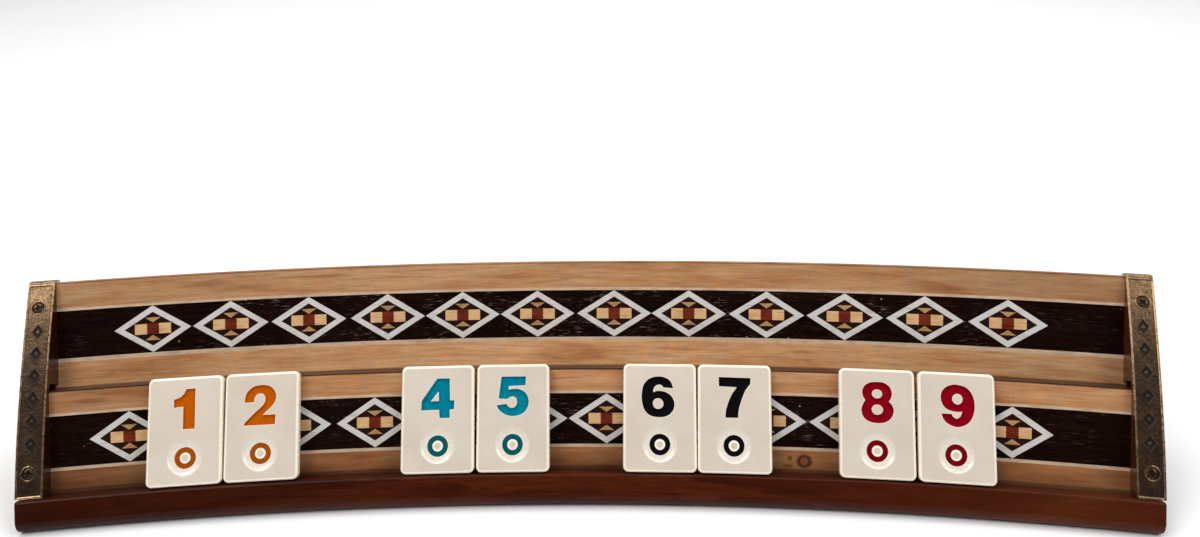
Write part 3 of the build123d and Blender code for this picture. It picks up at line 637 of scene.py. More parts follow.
def burl():
    m = Mat("golden_burl")
    sep = m.node("ShaderNodeSeparateXYZ")
    m.nt.links.new(m.object_mm(), sep.inputs[0])
    u = m.math("MULTIPLY", sep.outputs[0], -1.0)
    v = m.math("SUBTRACT", sep.outputs[2], STAR_Z)
    base = m.vec(u, v, 0.0)
    warp = m.noise(m.scale(base, (0.05, 0.05, 0.05)), 1.0, 4, 0.55, 0.0, colour=True)
    bent = m.add(base, m.scale(warp, (9.0, 9.0, 9.0)))
    fig = m.noise(m.scale(bent, (0.045, 0.14, 1.0)), 1.0, 5, 0.6, 1.4)
    fine = m.noise(m.scale(bent, (0.35, 1.6, 1.0)), 1.0, 5, 0.65, 0.8)
    col = m.ramp(fig, [(0.25, srgb(192, 134, 82)), (0.42, srgb(222, 174, 120)), (0.55, srgb(236, 196, 146)), (0.7, srgb(210, 154, 100)), (0.85, srgb(186, 120, 66))])
    col = m.mix(m.fade(fine, 0.45, 0.75, 0.0, 0.4), col, srgb(170, 108, 62))
    # where the eyes gather: middle, half sizes, strength
    zone = None
    for cu, cv, ru, rv, k in ((-92, -10, 17, 8, 1.0), (-104, -5, 8, 4, 0.9), (-78, 18, 9, 5, 1.0), (-94, 19, 5, 2.5, 0.8), (8, 18, 7, 6, 1.0), (19, 19, 6, 4, 0.9),
                              (30, 17, 5, 5, 0.9), (21, 1, 6, 10, 0.9), (34, 9, 5, 4, 0.8), (42, 21, 6, 3.5, 1.0), (58, 18, 5, 4, 0.9), (29, -15, 8, 4, 1.0), (40, -17, 9, 4, 1.0),
                              (52, -12, 7, 5, 0.9), (68, -13, 6, 5, 0.9), (-11, -17, 5, 4, 0.9), (-1, -20, 5, 3.5, 0.9), (98, -5, 8, 8, 1.0), (94, -13, 6, 4, 1.0), (106, 7, 6, 6, 1.0)):
        du = m.math("MULTIPLY", m.math("SUBTRACT", u, float(cu)), 1 / ru)
        dv = m.math("MULTIPLY", m.math("SUBTRACT", v, float(cv)), 1 / rv)
        d = m.math("SQRT", m.math("ADD", m.math("MULTIPLY", du, du), m.math("MULTIPLY", dv, dv)))
        g = m.fade(d, 0.7, 1.55, k, 0.0)
        zone = g if zone is None else m.math("MAXIMUM", zone, g)
    rag = m.noise(m.scale(base, (0.22, 0.26, 1.0)), 1.0, 4, 0.6, 0.8)
    zone = m.math("MULTIPLY", zone, m.fade(rag, 0.34, 0.56, 0.35, 1.0))
    swirl = m.add(base, m.scale(warp, (11.0, 11.0, 11.0)))
    flow = m.noise(m.scale(swirl, (0.7, 0.28, 1.0)), 1.0, 5, 0.62, 2.2)
    col = m.mix(m.math("MULTIPLY", zone, m.fade(flow, 0.34, 0.58, 0.4, 0.95)), col, srgb(182, 98, 30))
    streak = m.math("MULTIPLY", m.fade(flow, 0.52, 0.62, 0.0, 0.85), zone)
    col = m.mix(streak, col, srgb(112, 48, 10))
    eyes = m.voronoi(m.add(m.scale(base, (1.0, 0.8, 1.0)), m.scale(warp, (6.0, 6.0, 6.0))), 0.2)
    pick = m.math("GREATER_THAN", m.math("ADD", zone, m.math("MULTIPLY", rag, 0.2)), 0.44)
    halo = m.math("MULTIPLY", m.fade(eyes, 0.25, 0.6, 1.0, 0.0), zone)
    col = m.mix(m.math("MULTIPLY", halo, 0.75), col, srgb(146, 68, 16))
    ring = m.math("MULTIPLY", m.fade(eyes, 0.24, 0.36, 1.0, 0.0), pick)
    col = m.mix(m.math("MULTIPLY", ring, 0.92), col, srgb(50, 18, 6))
    core = m.math("MULTIPLY", m.fade(eyes, 0.08, 0.15, 1.0, 0.0), pick)
    col = m.mix(m.math("MULTIPLY", core, 0.8), col, srgb(206, 142, 84))
    pip = m.math("MULTIPLY", m.fade(eyes, 0.02, 0.06, 1.0, 0.0), pick)
    col = m.mix(m.math("MULTIPLY", pip, 0.8), col, srgb(110, 48, 18))
    h = m.math("SUBTRACT", m.math("MULTIPLY", fine, 0.4), m.math("MULTIPLY", m.math("MULTIPLY", ring, zone), 0.8))
    return m.finish(col, m.fade(fine, 0.3, 0.8, 0.26, 0.38), m.bump(h, 0.3, 0.00006), coat=0.4, coat_rough=0.1, spec=0.25)


def groove_black():
    m = Mat("groove_stain")
    s, t, n, y0, z = m.arc()
    g = m.noise(m.vec(m.math("MULTIPLY", s, 1 / 3.0), m.math("MULTIPLY", z, 1 / 0.8), y0), 1.0, 4, 0.6)
    col = m.ramp(g, [(0.3, srgb(16, 6, 3)), (0.6, srgb(32, 13, 7)), (0.8, srgb(50, 22, 12))])
    return m.finish(col, m.fade(g, 0.3, 0.8, 0.34, 0.46), m.bump(g, 0.25, 0.0001), coat=0.12, coat_rough=0.08, spec=0.1)


def brass():
    m = Mat("antique_brass")
    s, t, n, y0, z = m.arc()
    o = m.object_mm()
    peb = m.voronoi(o, 1.5, "SMOOTH_F1")
    peb2 = m.noise(o, 1.1, 4, 0.65)
    pat = m.noise(m.vec(m.math("MULTIPLY", s, 1 / 5), m.math("MULTIPLY", t, 1 / 8), 1.0), 1.0, 4, 0.6)
    # painted light: the brass is a lighter copy at the top of the strip, where it turns up towards the light, and fades
    # down the strip into a darker copy, painted shade
    depth = m.ramp(m.math("MULTIPLY", t, 1 / 80), [(0.05, (0, 0, 0, 1)), (0.09, (0.18, 0.18, 0.18, 1)), (0.16, (0.66, 0.66, 0.66, 1)), (0.28, (0.82, 0.82, 0.82, 1)), (0.4, (0.95, 0.95, 0.95, 1)), (0.55, (1, 1, 1, 1))])
    gold = m.ramp(m.math("ADD", m.math("MULTIPLY", pat, 0.7), m.math("MULTIPLY", peb2, 0.3)), [(0.28, srgb(112, 84, 56)), (0.5, srgb(158, 126, 90)), (0.7, srgb(190, 158, 120)), (0.85, srgb(146, 114, 80))])
    shaded_brass = m.ramp(m.math("ADD", m.math("MULTIPLY", pat, 0.7), m.math("MULTIPLY", peb2, 0.3)), [(0.28, srgb(38, 26, 18)), (0.5, srgb(62, 45, 32)), (0.7, srgb(86, 66, 50)), (0.85, srgb(54, 39, 28))])
    col = m.mix(depth, gold, shaded_brass)
    col = m.mix(m.fade(peb, 0.25, 0.7, 0.0, 0.55), col, srgb(40, 28, 18))
    rough = m.math("ADD", m.fade(peb2, 0.3, 0.8, 0.4, 0.56), m.fade(peb, 0.3, 0.8, 0.0, 0.12))
    h = m.math("SUBTRACT", m.math("MULTIPLY", peb2, 0.6), peb)
    return m.finish(col, rough, m.bump(h, 0.45, 0.00014), metal=0.85, coat=0.1, coat_rough=0.3)


def brass_rim():
    m = Mat("worn_brass_rim")
    o = m.object_mm()
    g = m.noise(o, 0.6, 4, 0.6)
    f = m.noise(m.scale(o, (2.0, 2.0, 0.4)), 1.0, 3, 0.6)
    col = m.ramp(g, [(0.3, srgb(112, 88, 64)), (0.5, srgb(150, 122, 92)), (0.75, srgb(178, 150, 120))])
    col = m.mix(m.fade(f, 0.55, 0.75, 0.0, 0.4), col, srgb(86, 64, 44))
    return m.finish(col, m.fade(g, 0.3, 0.8, 0.24, 0.4), m.bump(f, 0.3, 0.00008), metal=0.95)


def screw_metal():
    m = Mat("screw_brass")
    o = m.object_mm()
    g = m.noise(o, 1.2, 4, 0.6)
    col = m.ramp(g, [(0.3, srgb(44, 33, 24)), (0.5, srgb(78, 61, 43)), (0.75, srgb(118, 95, 70))])
    return m.finish(col, m.fade(g, 0.3, 0.8, 0.26, 0.45), m.bump(g, 0.3, 0.00008), metal=0.95)


def dark_metal():
    m = Mat("dark_patina")
    o = m.object_mm()
    g = m.noise(o, 1.6, 4, 0.6)
    col = m.ramp(g, [(0.3, srgb(12, 7, 5)), (0.7, srgb(32, 22, 15))])
    return m.finish(col, m.fade(g, 0.3, 0.8, 0.45, 0.65), m.bump(g, 0.3, 0.00008), metal=0.6)


def ivory():
    m = Mat("tile_ivory")
    o = m.object_mm()
    mott = m.noise(o, 0.06, 4, 0.55)
    spk = m.noise(o, 1.1, 3, 0.6)
    tiny = m.noise(o, 3.2, 2, 0.5)
    col = m.ramp(mott, [(0.3, srgb(209, 196, 180)), (0.5, srgb(214, 202, 187)), (0.7, srgb(218, 207, 193))])
    col = m.mix(m.fade(spk, 0.5, 0.75, 0.0, 0.14), col, srgb(196, 178, 154))
    h = m.math("ADD", m.math("MULTIPLY", spk, 0.6), m.math("MULTIPLY", tiny, 0.4))
    mat = m.finish(col, m.fade(spk, 0.3, 0.8, 0.34, 0.46), m.bump(h, 0.22, 0.00006), coat=0.25, coat_rough=0.25)
    m.bsdf.inputs["Subsurface Weight"].default_value = 0.12
    m.bsdf.inputs["Subsurface Radius"].default_value = (0.0022, 0.0016, 0.0011)
    m.bsdf.inputs["Subsurface Scale"].default_value = 1.0
    return mat


def ivory_highlight(name="tile_ivory_polished_rim", stops=((249, 236, 216), (253, 242, 224), (243, 228, 206))):
    # a lighter ivory with more coat, used as painted highlight on the tile's rounded front edges, the lips of the
    # engraving and the dish
    m = Mat(name)
    o = m.object_mm()
    spk = m.noise(o, 0.9, 3, 0.6)
    col = m.ramp(spk, [(q, srgb(*c)) for q, c in zip((0.3, 0.6, 0.8), stops)])
    mat = m.finish(col, m.fade(spk, 0.3, 0.8, 0.24, 0.34), m.bump(spk, 0.15, 0.00005), coat=0.5, coat_rough=0.15)
    m.bsdf.inputs["Subsurface Weight"].default_value = 0.12
    m.bsdf.inputs["Subsurface Radius"].default_value = (0.0022, 0.0016, 0.0011)
    m.bsdf.inputs["Subsurface Scale"].default_value = 1.0
    return mat


def ink(name, light, dark):
    m = Mat(name)
    o = m.object_mm()
    g = m.noise(o, 0.5, 4, 0.6)
    f = m.noise(o, 2.4, 3, 0.6)
    between = tuple(0.55 * a + 0.45 * b for a, b in zip(light, dark))
    col = m.ramp(g, [(0.25, srgb(*between)), (0.5, srgb(*light)), (0.8, srgb(*light))])
    col = m.mix(m.fade(f, 0.58, 0.78, 0.0, 0.3), col, srgb(*dark))
    return m.finish(col, m.fade(f, 0.3, 0.8, 0.4, 0.56), m.bump(f, 0.3, 0.00006), coat=0.0, coat_rough=0.2, spec=0.02)


def base_wood():
    m = Mat("plain_base_wood")
    s, t, n, y0, z = m.arc()
    fig = m.noise(m.vec(m.math("MULTIPLY", s, 1 / 50), m.math("MULTIPLY", y0, 1 / 6), m.math("MULTIPLY", z, 1 / 6)), 1.0, 4, 0.6, 0.9)
    fine = m.noise(m.vec(m.math("MULTIPLY", s, 1 / 14), m.math("MULTIPLY", y0, 1 / 0.5), m.math("MULTIPLY", z, 1 / 0.5)), 1.0, 5, 0.62, 0.3)
    pore = m.noise(m.vec(m.math("MULTIPLY", s, 1 / 2.6), m.math("MULTIPLY", y0, 1 / 0.25), m.math("MULTIPLY", z, 1 / 0.25)), 1.0, 2, 0.5)
    col = m.ramp(fig, [(0.28, srgb(74, 36, 20)), (0.5, srgb(108, 60, 36)), (0.7, srgb(132, 80, 50)), (0.85, srgb(92, 48, 28))])
    col = m.mix(m.fade(fine, 0.45, 0.72, 0.0, 0.4), col, srgb(60, 28, 14))
    col = m.mix(m.fade(pore, 0.62, 0.74, 0.0, 0.5), col, srgb(34, 14, 6))
    return m.finish(col, m.fade(fine, 0.3, 0.8, 0.42, 0.6), m.bump(m.math("SUBTRACT", fine, m.fade(pore, 0.6, 0.76)), 0.35, 0.00008), coat=0.25, coat_rough=0.3)


M_LIGHT = light_wood()
M_LACQ = lacquer()
M_CHEEK = lacquer("dark_gloss_lacquer", ((30, 11, 6), (50, 20, 12), (70, 31, 20), (38, 14, 8)), 0.08, 0.6, 0.35)
M_BACK = lacquer("back_board_lacquer", ((54, 19, 8), (82, 33, 15), (108, 51, 26), (62, 23, 10)), 0.06, 0.45, 0.14)
M_DARK = dark_veneer()
M_FIELD = veneer("field_veneer", [(14, 5, 3), (26, 10, 6), (38, 16, 9)], fleck=(72, 40, 26), fleck_k=0.3, coat=0.03, spec=0.1)
M_SILVER = veneer("silver_veneer", [(176, 171, 168), (196, 191, 188), (208, 203, 200)], fleck=(138, 131, 126), fleck_k=0.3, scale=(5, 0.45))
M_CREAM = veneer("cream_veneer", [(176, 132, 84), (198, 156, 106), (214, 174, 126)], fleck=(150, 102, 56), fleck_k=0.35)
M_RED = veneer("red_veneer", [(66, 16, 6), (92, 27, 10), (112, 42, 20)], fleck=(48, 10, 3), fleck_k=0.4, coat=0.06, spec=0.15)
M_TAN = veneer("tan_veneer", [(132, 94, 54), (158, 120, 76), (176, 140, 92)], fleck=(104, 68, 36), fleck_k=0.4)
M_BROWN = veneer("brown_veneer", [(70, 30, 20), (96, 44, 30), (116, 58, 40)], fleck=(50, 18, 10), fleck_k=0.4)
M_LINE = veneer("line_veneer", [(214, 186, 160), (232, 208, 184), (242, 222, 202)], fleck=(180, 146, 112), fleck_k=0.3)
M_STRING = veneer("stringing", [(160, 130, 104), (186, 156, 130), (204, 176, 150)], fleck=(122, 90, 66), fleck_k=0.5, scale=(14, 0.4))
M_BURL = burl()
M_GROOVE = groove_black()
M_BRASS, M_RIM, M_SCREW, M_DARKMETAL = brass(), brass_rim(), screw_metal(), dark_metal()
M_IVORY, M_IVORY_HIGHLIGHT = ivory(), ivory_highlight()
# the dish slope in a slightly dimmer painted highlight
M_DISH_HIGHLIGHT = ivory_highlight("tile_ivory_dish", ((228, 219, 206), (233, 225, 213), (222, 211, 196)))
M_BASE = base_wood()
# the orange, teal and crimson ring inks are darker copies of their numeral inks: painted shade in the ring's groove
INKS = {
    "orange": (ink("orange_ink", (188, 89, 2), (150, 64, 2)), ink("orange_ring_ink_shaded", (158, 76, 8), (122, 54, 4))),
    "teal": (ink("teal_ink", (0, 125, 148), (0, 94, 114)), ink("teal_ring_ink_shaded", (6, 88, 92), (2, 64, 68))),
    "black": (ink("black_ink", (14, 13, 15), (6, 6, 8)), ink("black_ring_ink", (14, 13, 15), (6, 6, 8))),
    "crimson": (ink("crimson_ink", (136, 1, 21), (106, 0, 12)), ink("crimson_ring_ink_shaded", (112, 4, 14), (84, 0, 8))),
}

# ------------------------------------------------------------------ carried-over CAD nodes
PLAIN = {
    "upper_rest": M_LIGHT, "lower_rest": M_LIGHT, "bottom_board": M_BASE, "sliding_lid": M_BASE,
    "upper_band_veneer": M_DARK, "lower_band_veneer": M_DARK, "upper_stringing": M_STRING, "lower_stringing": M_STRING,
    "end_board_left": M_CHEEK, "end_board_right": M_CHEEK,
    "star_border": M_LINE, "star_ground": M_FIELD, "star_rays": M_SILVER, "star_eye": M_TAN,
}
for row in ("upper", "lower"):
    PLAIN.update({row + "_diamond_frames": M_SILVER, row + "_diamond_fields": M_FIELD, row + "_cream_squares": M_CREAM,
                  row + "_red_squares": M_RED, row + "_tan_triangles": M_TAN})
for side in ("left", "right"):
    PLAIN.update({"kite_" + side + "_lines": M_LINE, "kite_" + side + "_ground": M_FIELD, "kite_" + side + "_white": M_SILVER,
                  "kite_" + side + "_tan": M_CREAM, "kite_" + side + "_brown": M_BROWN})
for name, mat in PLAIN.items():
    for slot in NODES[name].material_slots:
        slot.material = mat

# ------------------------------------------------------------------ front ledge
N_BED = (TOP_Y - S * LEDGE_T - 24.0) / C
LIP = [P(LEDGE_T, N_BED), *rounded([P(LEDGE_T, LIP_N - 4), (*P(LEDGE_T, LIP_N), 1.3), P(LEDGE_T + 4, LIP_N)], 6)[1:-1]]
LIP += [P(LEDGE_T + 4.5, LIP_N), *arc3(P(87.6, LIP_N), (2.2, 1.9), (5.4, 0.0), 8), (24.0, 0.0)]
ledge = sweep("gallery_ledge", LIP, -END, END, 0.12, [M_LACQ], end_r=0.9, k_end=5)
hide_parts("front_ledge")

# ------------------------------------------------------------------ carved back board
BURL_TOP = [(88.0, 23.6), (94.1, 22.7), (100.1, 20.0), (104.6, 16.4), (109.4, 12.1), (114.1, 7.2), (118.6, 3.2), (122.4, 0.4)]
BURL_LOW = [(122.4, -0.4), (116.4, -3.8), (109.8, -9.6), (103.6, -14.6), (97.4, -18.6), (91.5, -21.3), (86.0, -22.0)]
GROOVE_TOP = [(87.5, 27.0), (94.9, 26.1), (102.0, 23.0), (107.2, 18.8), (112.0, 14.4), (116.8, 9.6), (121.2, 5.6), (126.0, 2.6), (131.0, 1.4)]
GROOVE_LOW = [(131.0, -1.4), (124.4, -3.2), (118.2, -7.0), (112.0, -12.6), (105.8, -17.4), (99.0, -21.8), (92.4, -24.8), (85.5, -25.4)]


def ogee(top, low):
    """Closed outline whose four ogee runs are drawn smooth and whose long sides stay straight."""
    runs = [catmull(top, False, 6), catmull(low, False, 6)]
    one = np.vstack(runs)
    two = np.vstack([(one * (-1, 1))[::-1]])
    return ccw(np.vstack([one, two]))


BURL = ogee(BURL_TOP, BURL_LOW)
GROOVE = ogee(GROOVE_TOP, GROOVE_LOW)


def scroll_line(up, side):
    pts = [(130.0, 0.6 * up), (137.0, 0.9 * up), (142.0, 2.4 * up)]
    for i in range(15):
        a = math.radians(-42 + 22.5 * i)
        r = 12.4 - 0.72 * i
        pts.append((136.5 + r * math.cos(a), up * (14.0 + r * math.sin(a))))
    return catmull([(side * x, y) for x, y in pts], False, 4)


def carve(u, v):
    """Depth of the carving, mm, and which of the points lie in it."""
    pts = np.stack([u.ravel(), v.ravel()], 1)
    dep = np.zeros(len(pts))
    near = (np.abs(pts[:, 0]) < 134) & (np.abs(pts[:, 1]) < 29)
    q = pts[near]
    d = np.where(inside(q, GROOVE), 1, -1) * distance(q, GROOVE)
    w = np.clip((d + 0.1) / 1.5, 0, 1)
    dep[near] = 1.0 * np.sin(w * math.pi / 2) ** 1.3
    for side in (1, -1):
        for up in (1, -1):
            line = scroll_line(up, side)
            k = (np.sign(pts[:, 0]) == side) & (np.abs(pts[:, 0]) > 118) & (np.abs(pts[:, 0]) < 153) & (np.abs(pts[:, 1]) < 30)
            q = pts[k]
            best, half = np.full(len(q), 1e9), np.ones(len(q))
            for i in range(len(line) - 1):
                a, b = line[i], line[i + 1]
                e = b - a
                t = np.clip(((q - a) @ e) / max(float(e @ e), 1e-12), 0, 1)
                dist = np.hypot(*(q - a - t[:, None] * e).T)
                hw = (3.1 + (1.3 - 3.1) * (i + t) / (len(line) - 1)) / 2
                better = dist - hw < best
                best = np.where(better, dist - hw, best)
                half = np.where(better, hw, half)
            prof = np.clip(-(best - 0.12) / (half * 0.9), 0, 1)
            dep[k] = np.maximum(dep[k], 1.0 * np.sin(prof * math.pi / 2) ** 1.2)
    return dep.reshape(u.shape)


zs = np.concatenate([[0.9, 3.0, 5.2], np.arange(7.0, 65.35, 0.36), [65.5]])
back_sec = [(BACK_Y, z) for z in zs]
top_arc = arc3((BACK_Y, 65.5), (63.3, 72.0), (TOP_Y, TOP_Z), 22)[1:]
T_BACK = (TOP_Y + 5 * C - BOARD_Y) / S
tail = [P(0.8, 0), P(0.8, -5), P(T_BACK, -5), (BOARD_Y, 0.0), (65.1, 0.0), (65.65, 0.25)]
back_outline = np.array(back_sec + top_arc + tail)
rad = np.concatenate([np.full(len(back_sec), 2.0), np.linspace(2.0, 0.5, 8), np.full(len(top_arc) - 8, 0.45), np.full(4, 0.3), [0.9, 1.4]])
rad = np.minimum(rad, 2.0)
fine = np.arange(-156.5, 156.6, 0.46)
fine_a = np.degrees(np.arcsin(fine / (ARC_R + BACK_Y)))
coarse = np.linspace(fine_a[-1], END - 0.09, 16)[1:]
back_angles = np.concatenate([-coarse[::-1], fine_a, coarse])


def shift_back(rows, ang):
    n = len(back_sec)
    y = rows[:, :n, 0]
    u = -(ARC_R + y) * np.sin(ang[:, :n] * D2R)
    v = rows[:, :n, 1] - STAR_Z
    rows[:, :n, 0] = y - carve(u, v)
    return rows


def back_mats(rows, ang):
    nr, nc = rows.shape[0], rows.shape[1]
    n = len(back_sec)
    y = rows[:, :n, 0]
    u = -(ARC_R + y) * np.sin(ang[:, :n] * D2R)
    cut = np.clip(BACK_Y - y, 0, 2) * (np.abs(u) < 154)
    m = np.zeros((nr - 1, nc), int)
    avg = (cut[:-1, :-1] + cut[1:, :-1] + cut[:-1, 1:] + cut[1:, 1:]) / 4
    m[:, : n - 1] = avg > 0.16
    lip = n + len(top_arc) - 1                                  # from the top edge to the panel's surface
    m[:, lip : lip + 2] = 2
    return list(m.ravel())


# the outline is already counter-clockwise in (y0, z), so its order survives ccw()
assert area2(back_outline) > 0
back = sweep("carved_back_board", back_outline, -END, END, 0.2, [M_BACK, M_GROOVE, M_LIGHT], end_r=rad, angles=back_angles, shift=shift_back, mat_of=back_mats, k_end=6)
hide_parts("back_board")

# ------------------------------------------------------------------ burl panel
OCT = [(14.9 * math.cos(math.radians(90 + 45 * k)), 14.9 * math.sin(math.radians(90 + 45 * k))) for k in range(8)]
KITE = [(30.0, 0), (65.0, -13.7), (79.9, 0), (65.0, 13.7)]


def on_back(pts, y0):
    """Back-face points: u to the right as seen from behind, v up from the star."""
    pts = np.asarray(pts, float)
    r = ARC_R + y0
    x = -pts[:, 0]
    return np.stack([x, ARC_Y + np.sqrt(r * r - x * x), pts[:, 1] + STAR_Z], 1) * 0.001


def back_plate(name, outer, holes, mats, top=BACK_Y, depth=1.0, r=0.3, step=5.0):
    """Flush veneer on the curved back, its outer edge rounded over by r."""
    outer = ccw(outer)
    rings, zz = [], []
    for k in range(4):
        w = math.pi / 2 * k / 3
        rings.append(offset(outer, -r * (1 - math.cos(w))))
        zz.append(top - r * (1 - math.sin(w)))
    verts, faces = [], []
    ids = []
    for p, h in [(outer, top - depth)] + list(zip(rings, zz)):
        ids.append(list(range(len(verts), len(verts) + len(p))))
        verts += list(on_back(p, h))
    for a, b in zip(ids[:-1], ids[1:]):
        n = len(a)
        faces += [(a[i], a[(i + 1) % n], b[(i + 1) % n], b[i]) for i in range(n)]
    loops = [rings[-1]] + [ccw(h) for h in holes]
    lo, hi = outer.min(0), outer.max(0)
    gx, gy = np.meshgrid(np.arange(lo[0] + step / 2, hi[0], step), np.arange(lo[1] + step / 2, hi[1], step))
    ex = np.stack([gx.ravel(), gy.ravel()], 1)
    keep = inside(ex, loops[0]) & (distance(ex, loops[0]) > 1.0)
    for h in loops[1:]:
        keep &= ~inside(ex, h) & (distance(ex, h) > 1.0)
    co, tri, made = fill(loops, ex[keep])
    remap = {new: own for own, new in zip(ids[-1], made[0])}
    extra = on_back(co, top)
    for i in range(len(co)):
        if i not in remap:
            remap[i] = len(verts)
            verts.append(extra[i])
    faces += [tuple(remap[i] for i in t) for t in tri]
    for h in loops[1:]:                                              # walls of the holes, with corners of their own so that the face stays flat
        base, n = len(verts), len(h)
        verts += list(on_back(h, top)) + list(on_back(h, top - depth))
        faces += [(base + (i + 1) % n, base + i, base + n + i, base + n + (i + 1) % n) for i in range(n)]
    ob = make_object(name, verts, faces, mats)
    return ob


burl_ob = back_plate("burl_cartouche", BURL, [OCT, KITE, [(-x, y) for x, y in KITE]], [M_BURL], r=0.45)
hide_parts("burl_panel")

# ------------------------------------------------------------------ tiles
DIGITS = {
    1: ([[(3.3, 14.4, 1), (.07, 14.3, 1), (-.5, 12.9), (-1.93, 11.5), (-4.15, 10.7, 1), (-4.2, 7.95, 1), (-.75, 8.2, 1), (-.7, 0, 1), (3.35, 0, 1)]], []),
    2: ([[(-5.97, 8.35, 1), (-2.73, 8.35, 1), (-2.5, 9.98), (-1.56, 11.15), (-.27, 11.5), (.98, 11.1), (1.72, 9.67), (1.44, 8), (.31, 6.5), (-1.6, 4.9), (-3.86, 2.77), (-5.6, 1), (-6.1, 0, 1), (5.15, 0, 1), (5.4, 3.4, 1), (.4, 3.4, 1), (3.4, 6.1), (4.95, 8), (5.5, 10.2), (5.05, 11.9), (3.85, 13.4), (2.07, 14.2), (-.27, 14.4), (-2.6, 14), (-4.5, 12.7), (-5.65, 10.8)]], []),
    4: ([[(-.37, 14.6, 1), (4.2, 14.6, 1), (4.4, 6.35, 1), (6.07, 6.3, 1), (5.9, 3.2, 1), (4.3, 3.1, 1), (4.3, 0, 1), (.7, 0, 1), (.5, 3.1, 1), (-6.2, 3, 1), (-6.1, 6.35, 1)]], [[(.27, 10.1, 1), (.47, 6.2, 1), (-3, 6.1, 1)]]),
    5: ([[(-4.27, 14.6, 1), (4.86, 14.6, 1), (4.66, 11.4, 1), (-1.6, 11.2, 1), (-1.8, 9.5, 1), (-.55, 9.85), (2.2, 9.8), (4.74, 8.4), (5.9, 5.7), (5.4, 2.9), (3.57, .8), (.24, -.1), (-2.9, .6), (-5.25, 2.35), (-5.95, 3.85, 1), (-2.4, 4.3, 1), (-1.7, 3.3), (-.24, 2.75), (1.2, 3.5), (1.7, 5.1), (1.2, 6.65), (.04, 7.25), (-1.3, 6.95), (-2.1, 6.3, 1), (-5.25, 6.55, 1)]], []),
    6: ([[(4.73, 10.85, 1), (1.3, 11.1, 1), (.7, 11.85), (-.45, 12.2), (-1.8, 11.6), (-2.6, 10.4), (-2.75, 9, 1), (-1.6, 9.4), (-.25, 9.6), (2.1, 9.15), (4.2, 7.6), (5.25, 5.15), (4.7, 2.5), (2.7, .6), (-.25, 0), (-3.75, .65), (-5.9, 2.8), (-6.8, 6.1), (-6.8, 8.8), (-6.1, 11.9), (-4.15, 14.1), (-1, 15), (2.1, 14.5), (4.05, 12.9)]], [(-.76, 4.95, 2.1, 2.1)]),
    7: ([[(-5.73, 14.6, 1), (5.9, 14.4, 1), (5.8, 12.3, 1), (3.95, 9.9), (2.43, 6.2), (1.5, 3.1), (1.17, 0, 1), (-3.35, 0, 1), (-3.05, 2.7), (-2.1, 5.8), (-.7, 8.7), (1.07, 11.15, 1), (-5.7, 11.4, 1)]], []),
    8: ([[(-.12, 14.4), (2.28, 14.2), (4.46, 12.8), (5.2, 10.6), (4.75, 8.76), (3.96, 7.7, 1), (5.2, 6.35), (5.76, 4.54), (4.98, 2.1), (2.9, .5), (-.1, 0), (-3.3, .5), (-5.27, 2.1), (-5.9, 4.5), (-5.2, 6.6), (-4.4, 7.9, 1), (-5.3, 9.4), (-5.5, 11.2), (-4.6, 13), (-2.7, 14.1)]], [(-.15, 10.25, 2.0, 1.7), (-.14, 4.66, 2.2, 1.9)]),
    9: ([[(-5.47, 4.34, 1), (-1.97, 4.34, 1), (-1.44, 3.4), (-.18, 2.73), (1.26, 3.5), (2.1, 5.55, 1), (.4, 5.35), (-2, 5.6), (-4.4, 6.8), (-5.6, 9.4), (-5.35, 11.8), (-3.95, 13.7), (-1.7, 14.7), (.3, 14.85), (3.5, 14), (5.6, 11.6), (6.4, 8), (5.8, 4.3), (3.96, 1.45), (.6, 0), (-2.4, .56), (-4.5, 2.05)]], [(.3, 9.8, 2.0, 2.0)]),
}
TILES = {1: -6.329, 2: -5.126, 4: -2.323, 5: -1.113, 6: 1.241, 7: 2.430, 8: 4.655, 9: 5.869}
# each numeral's left, right, lower and upper edge from the tile's middle, and the dish's middle
DIGIT_BOX = {1: (-4.12, 3.63, 0.72, 15.5), 2: (-6.55, 5.25, 0.63, 15.3), 4: (-6.2, 6.35, 0.47, 15.1), 5: (-6.1, 5.95, 0.7, 15.35),
             6: (-6.75, 5.5, 0.22, 15.2), 7: (-5.85, 6.0, 0.45, 15.3), 8: (-5.7, 6.0, 0.3, 15.2), 9: (-5.6, 6.4, 0.38, 15.55)}
DISH_X = {1: 0.3, 2: -0.35, 4: 0.05, 5: -0.15, 6: 0.0, 7: -0.3, 8: -0.1, 9: -0.4}
TILE_INK = {1: "orange", 2: "orange", 4: "teal", 5: "teal", 6: "black", 7: "black", 8: "crimson", 9: "crimson"}
TILE_W, TILE_H, TILE_D, TILE_T, TILE_N, TILE_LEAN = 27.9, 40.1, 4.0, 79.5, 15.4, 8.5


def circle(cx, cy, rx, ry=None, n=40):
    ry = rx if ry is None else ry
    a = np.arange(n) * 2 * math.pi / n
    return np.stack([cx + rx * np.cos(a), cy + ry * np.sin(a)], 1)


def panel_matrix(a, t, n, lean=0.0):
    s, c = math.sin(a * D2R), math.cos(a * D2R)
    o = world(*P(t, n), a)
    xd = Vector((c, -s, 0))
    k = (26.0 + lean) * D2R
    zd = Vector((-math.cos(k) * s, -math.cos(k) * c, math.sin(k)))
    yd = zd.cross(xd)
    m = Matrix((xd, yd, zd)).transposed().to_4x4()
    m.translation = Vector(o)
    return m


def resample(loop, step):
    """Adds points so that no straight run is longer than step."""
    out = []
    for a, b in zip(loop, np.roll(loop, -1, 0)):
        k = max(1, int(math.ceil(np.linalg.norm(b - a) / step)))
        out += [a + (b - a) * i / k for i in range(k)]
    return np.array(out)


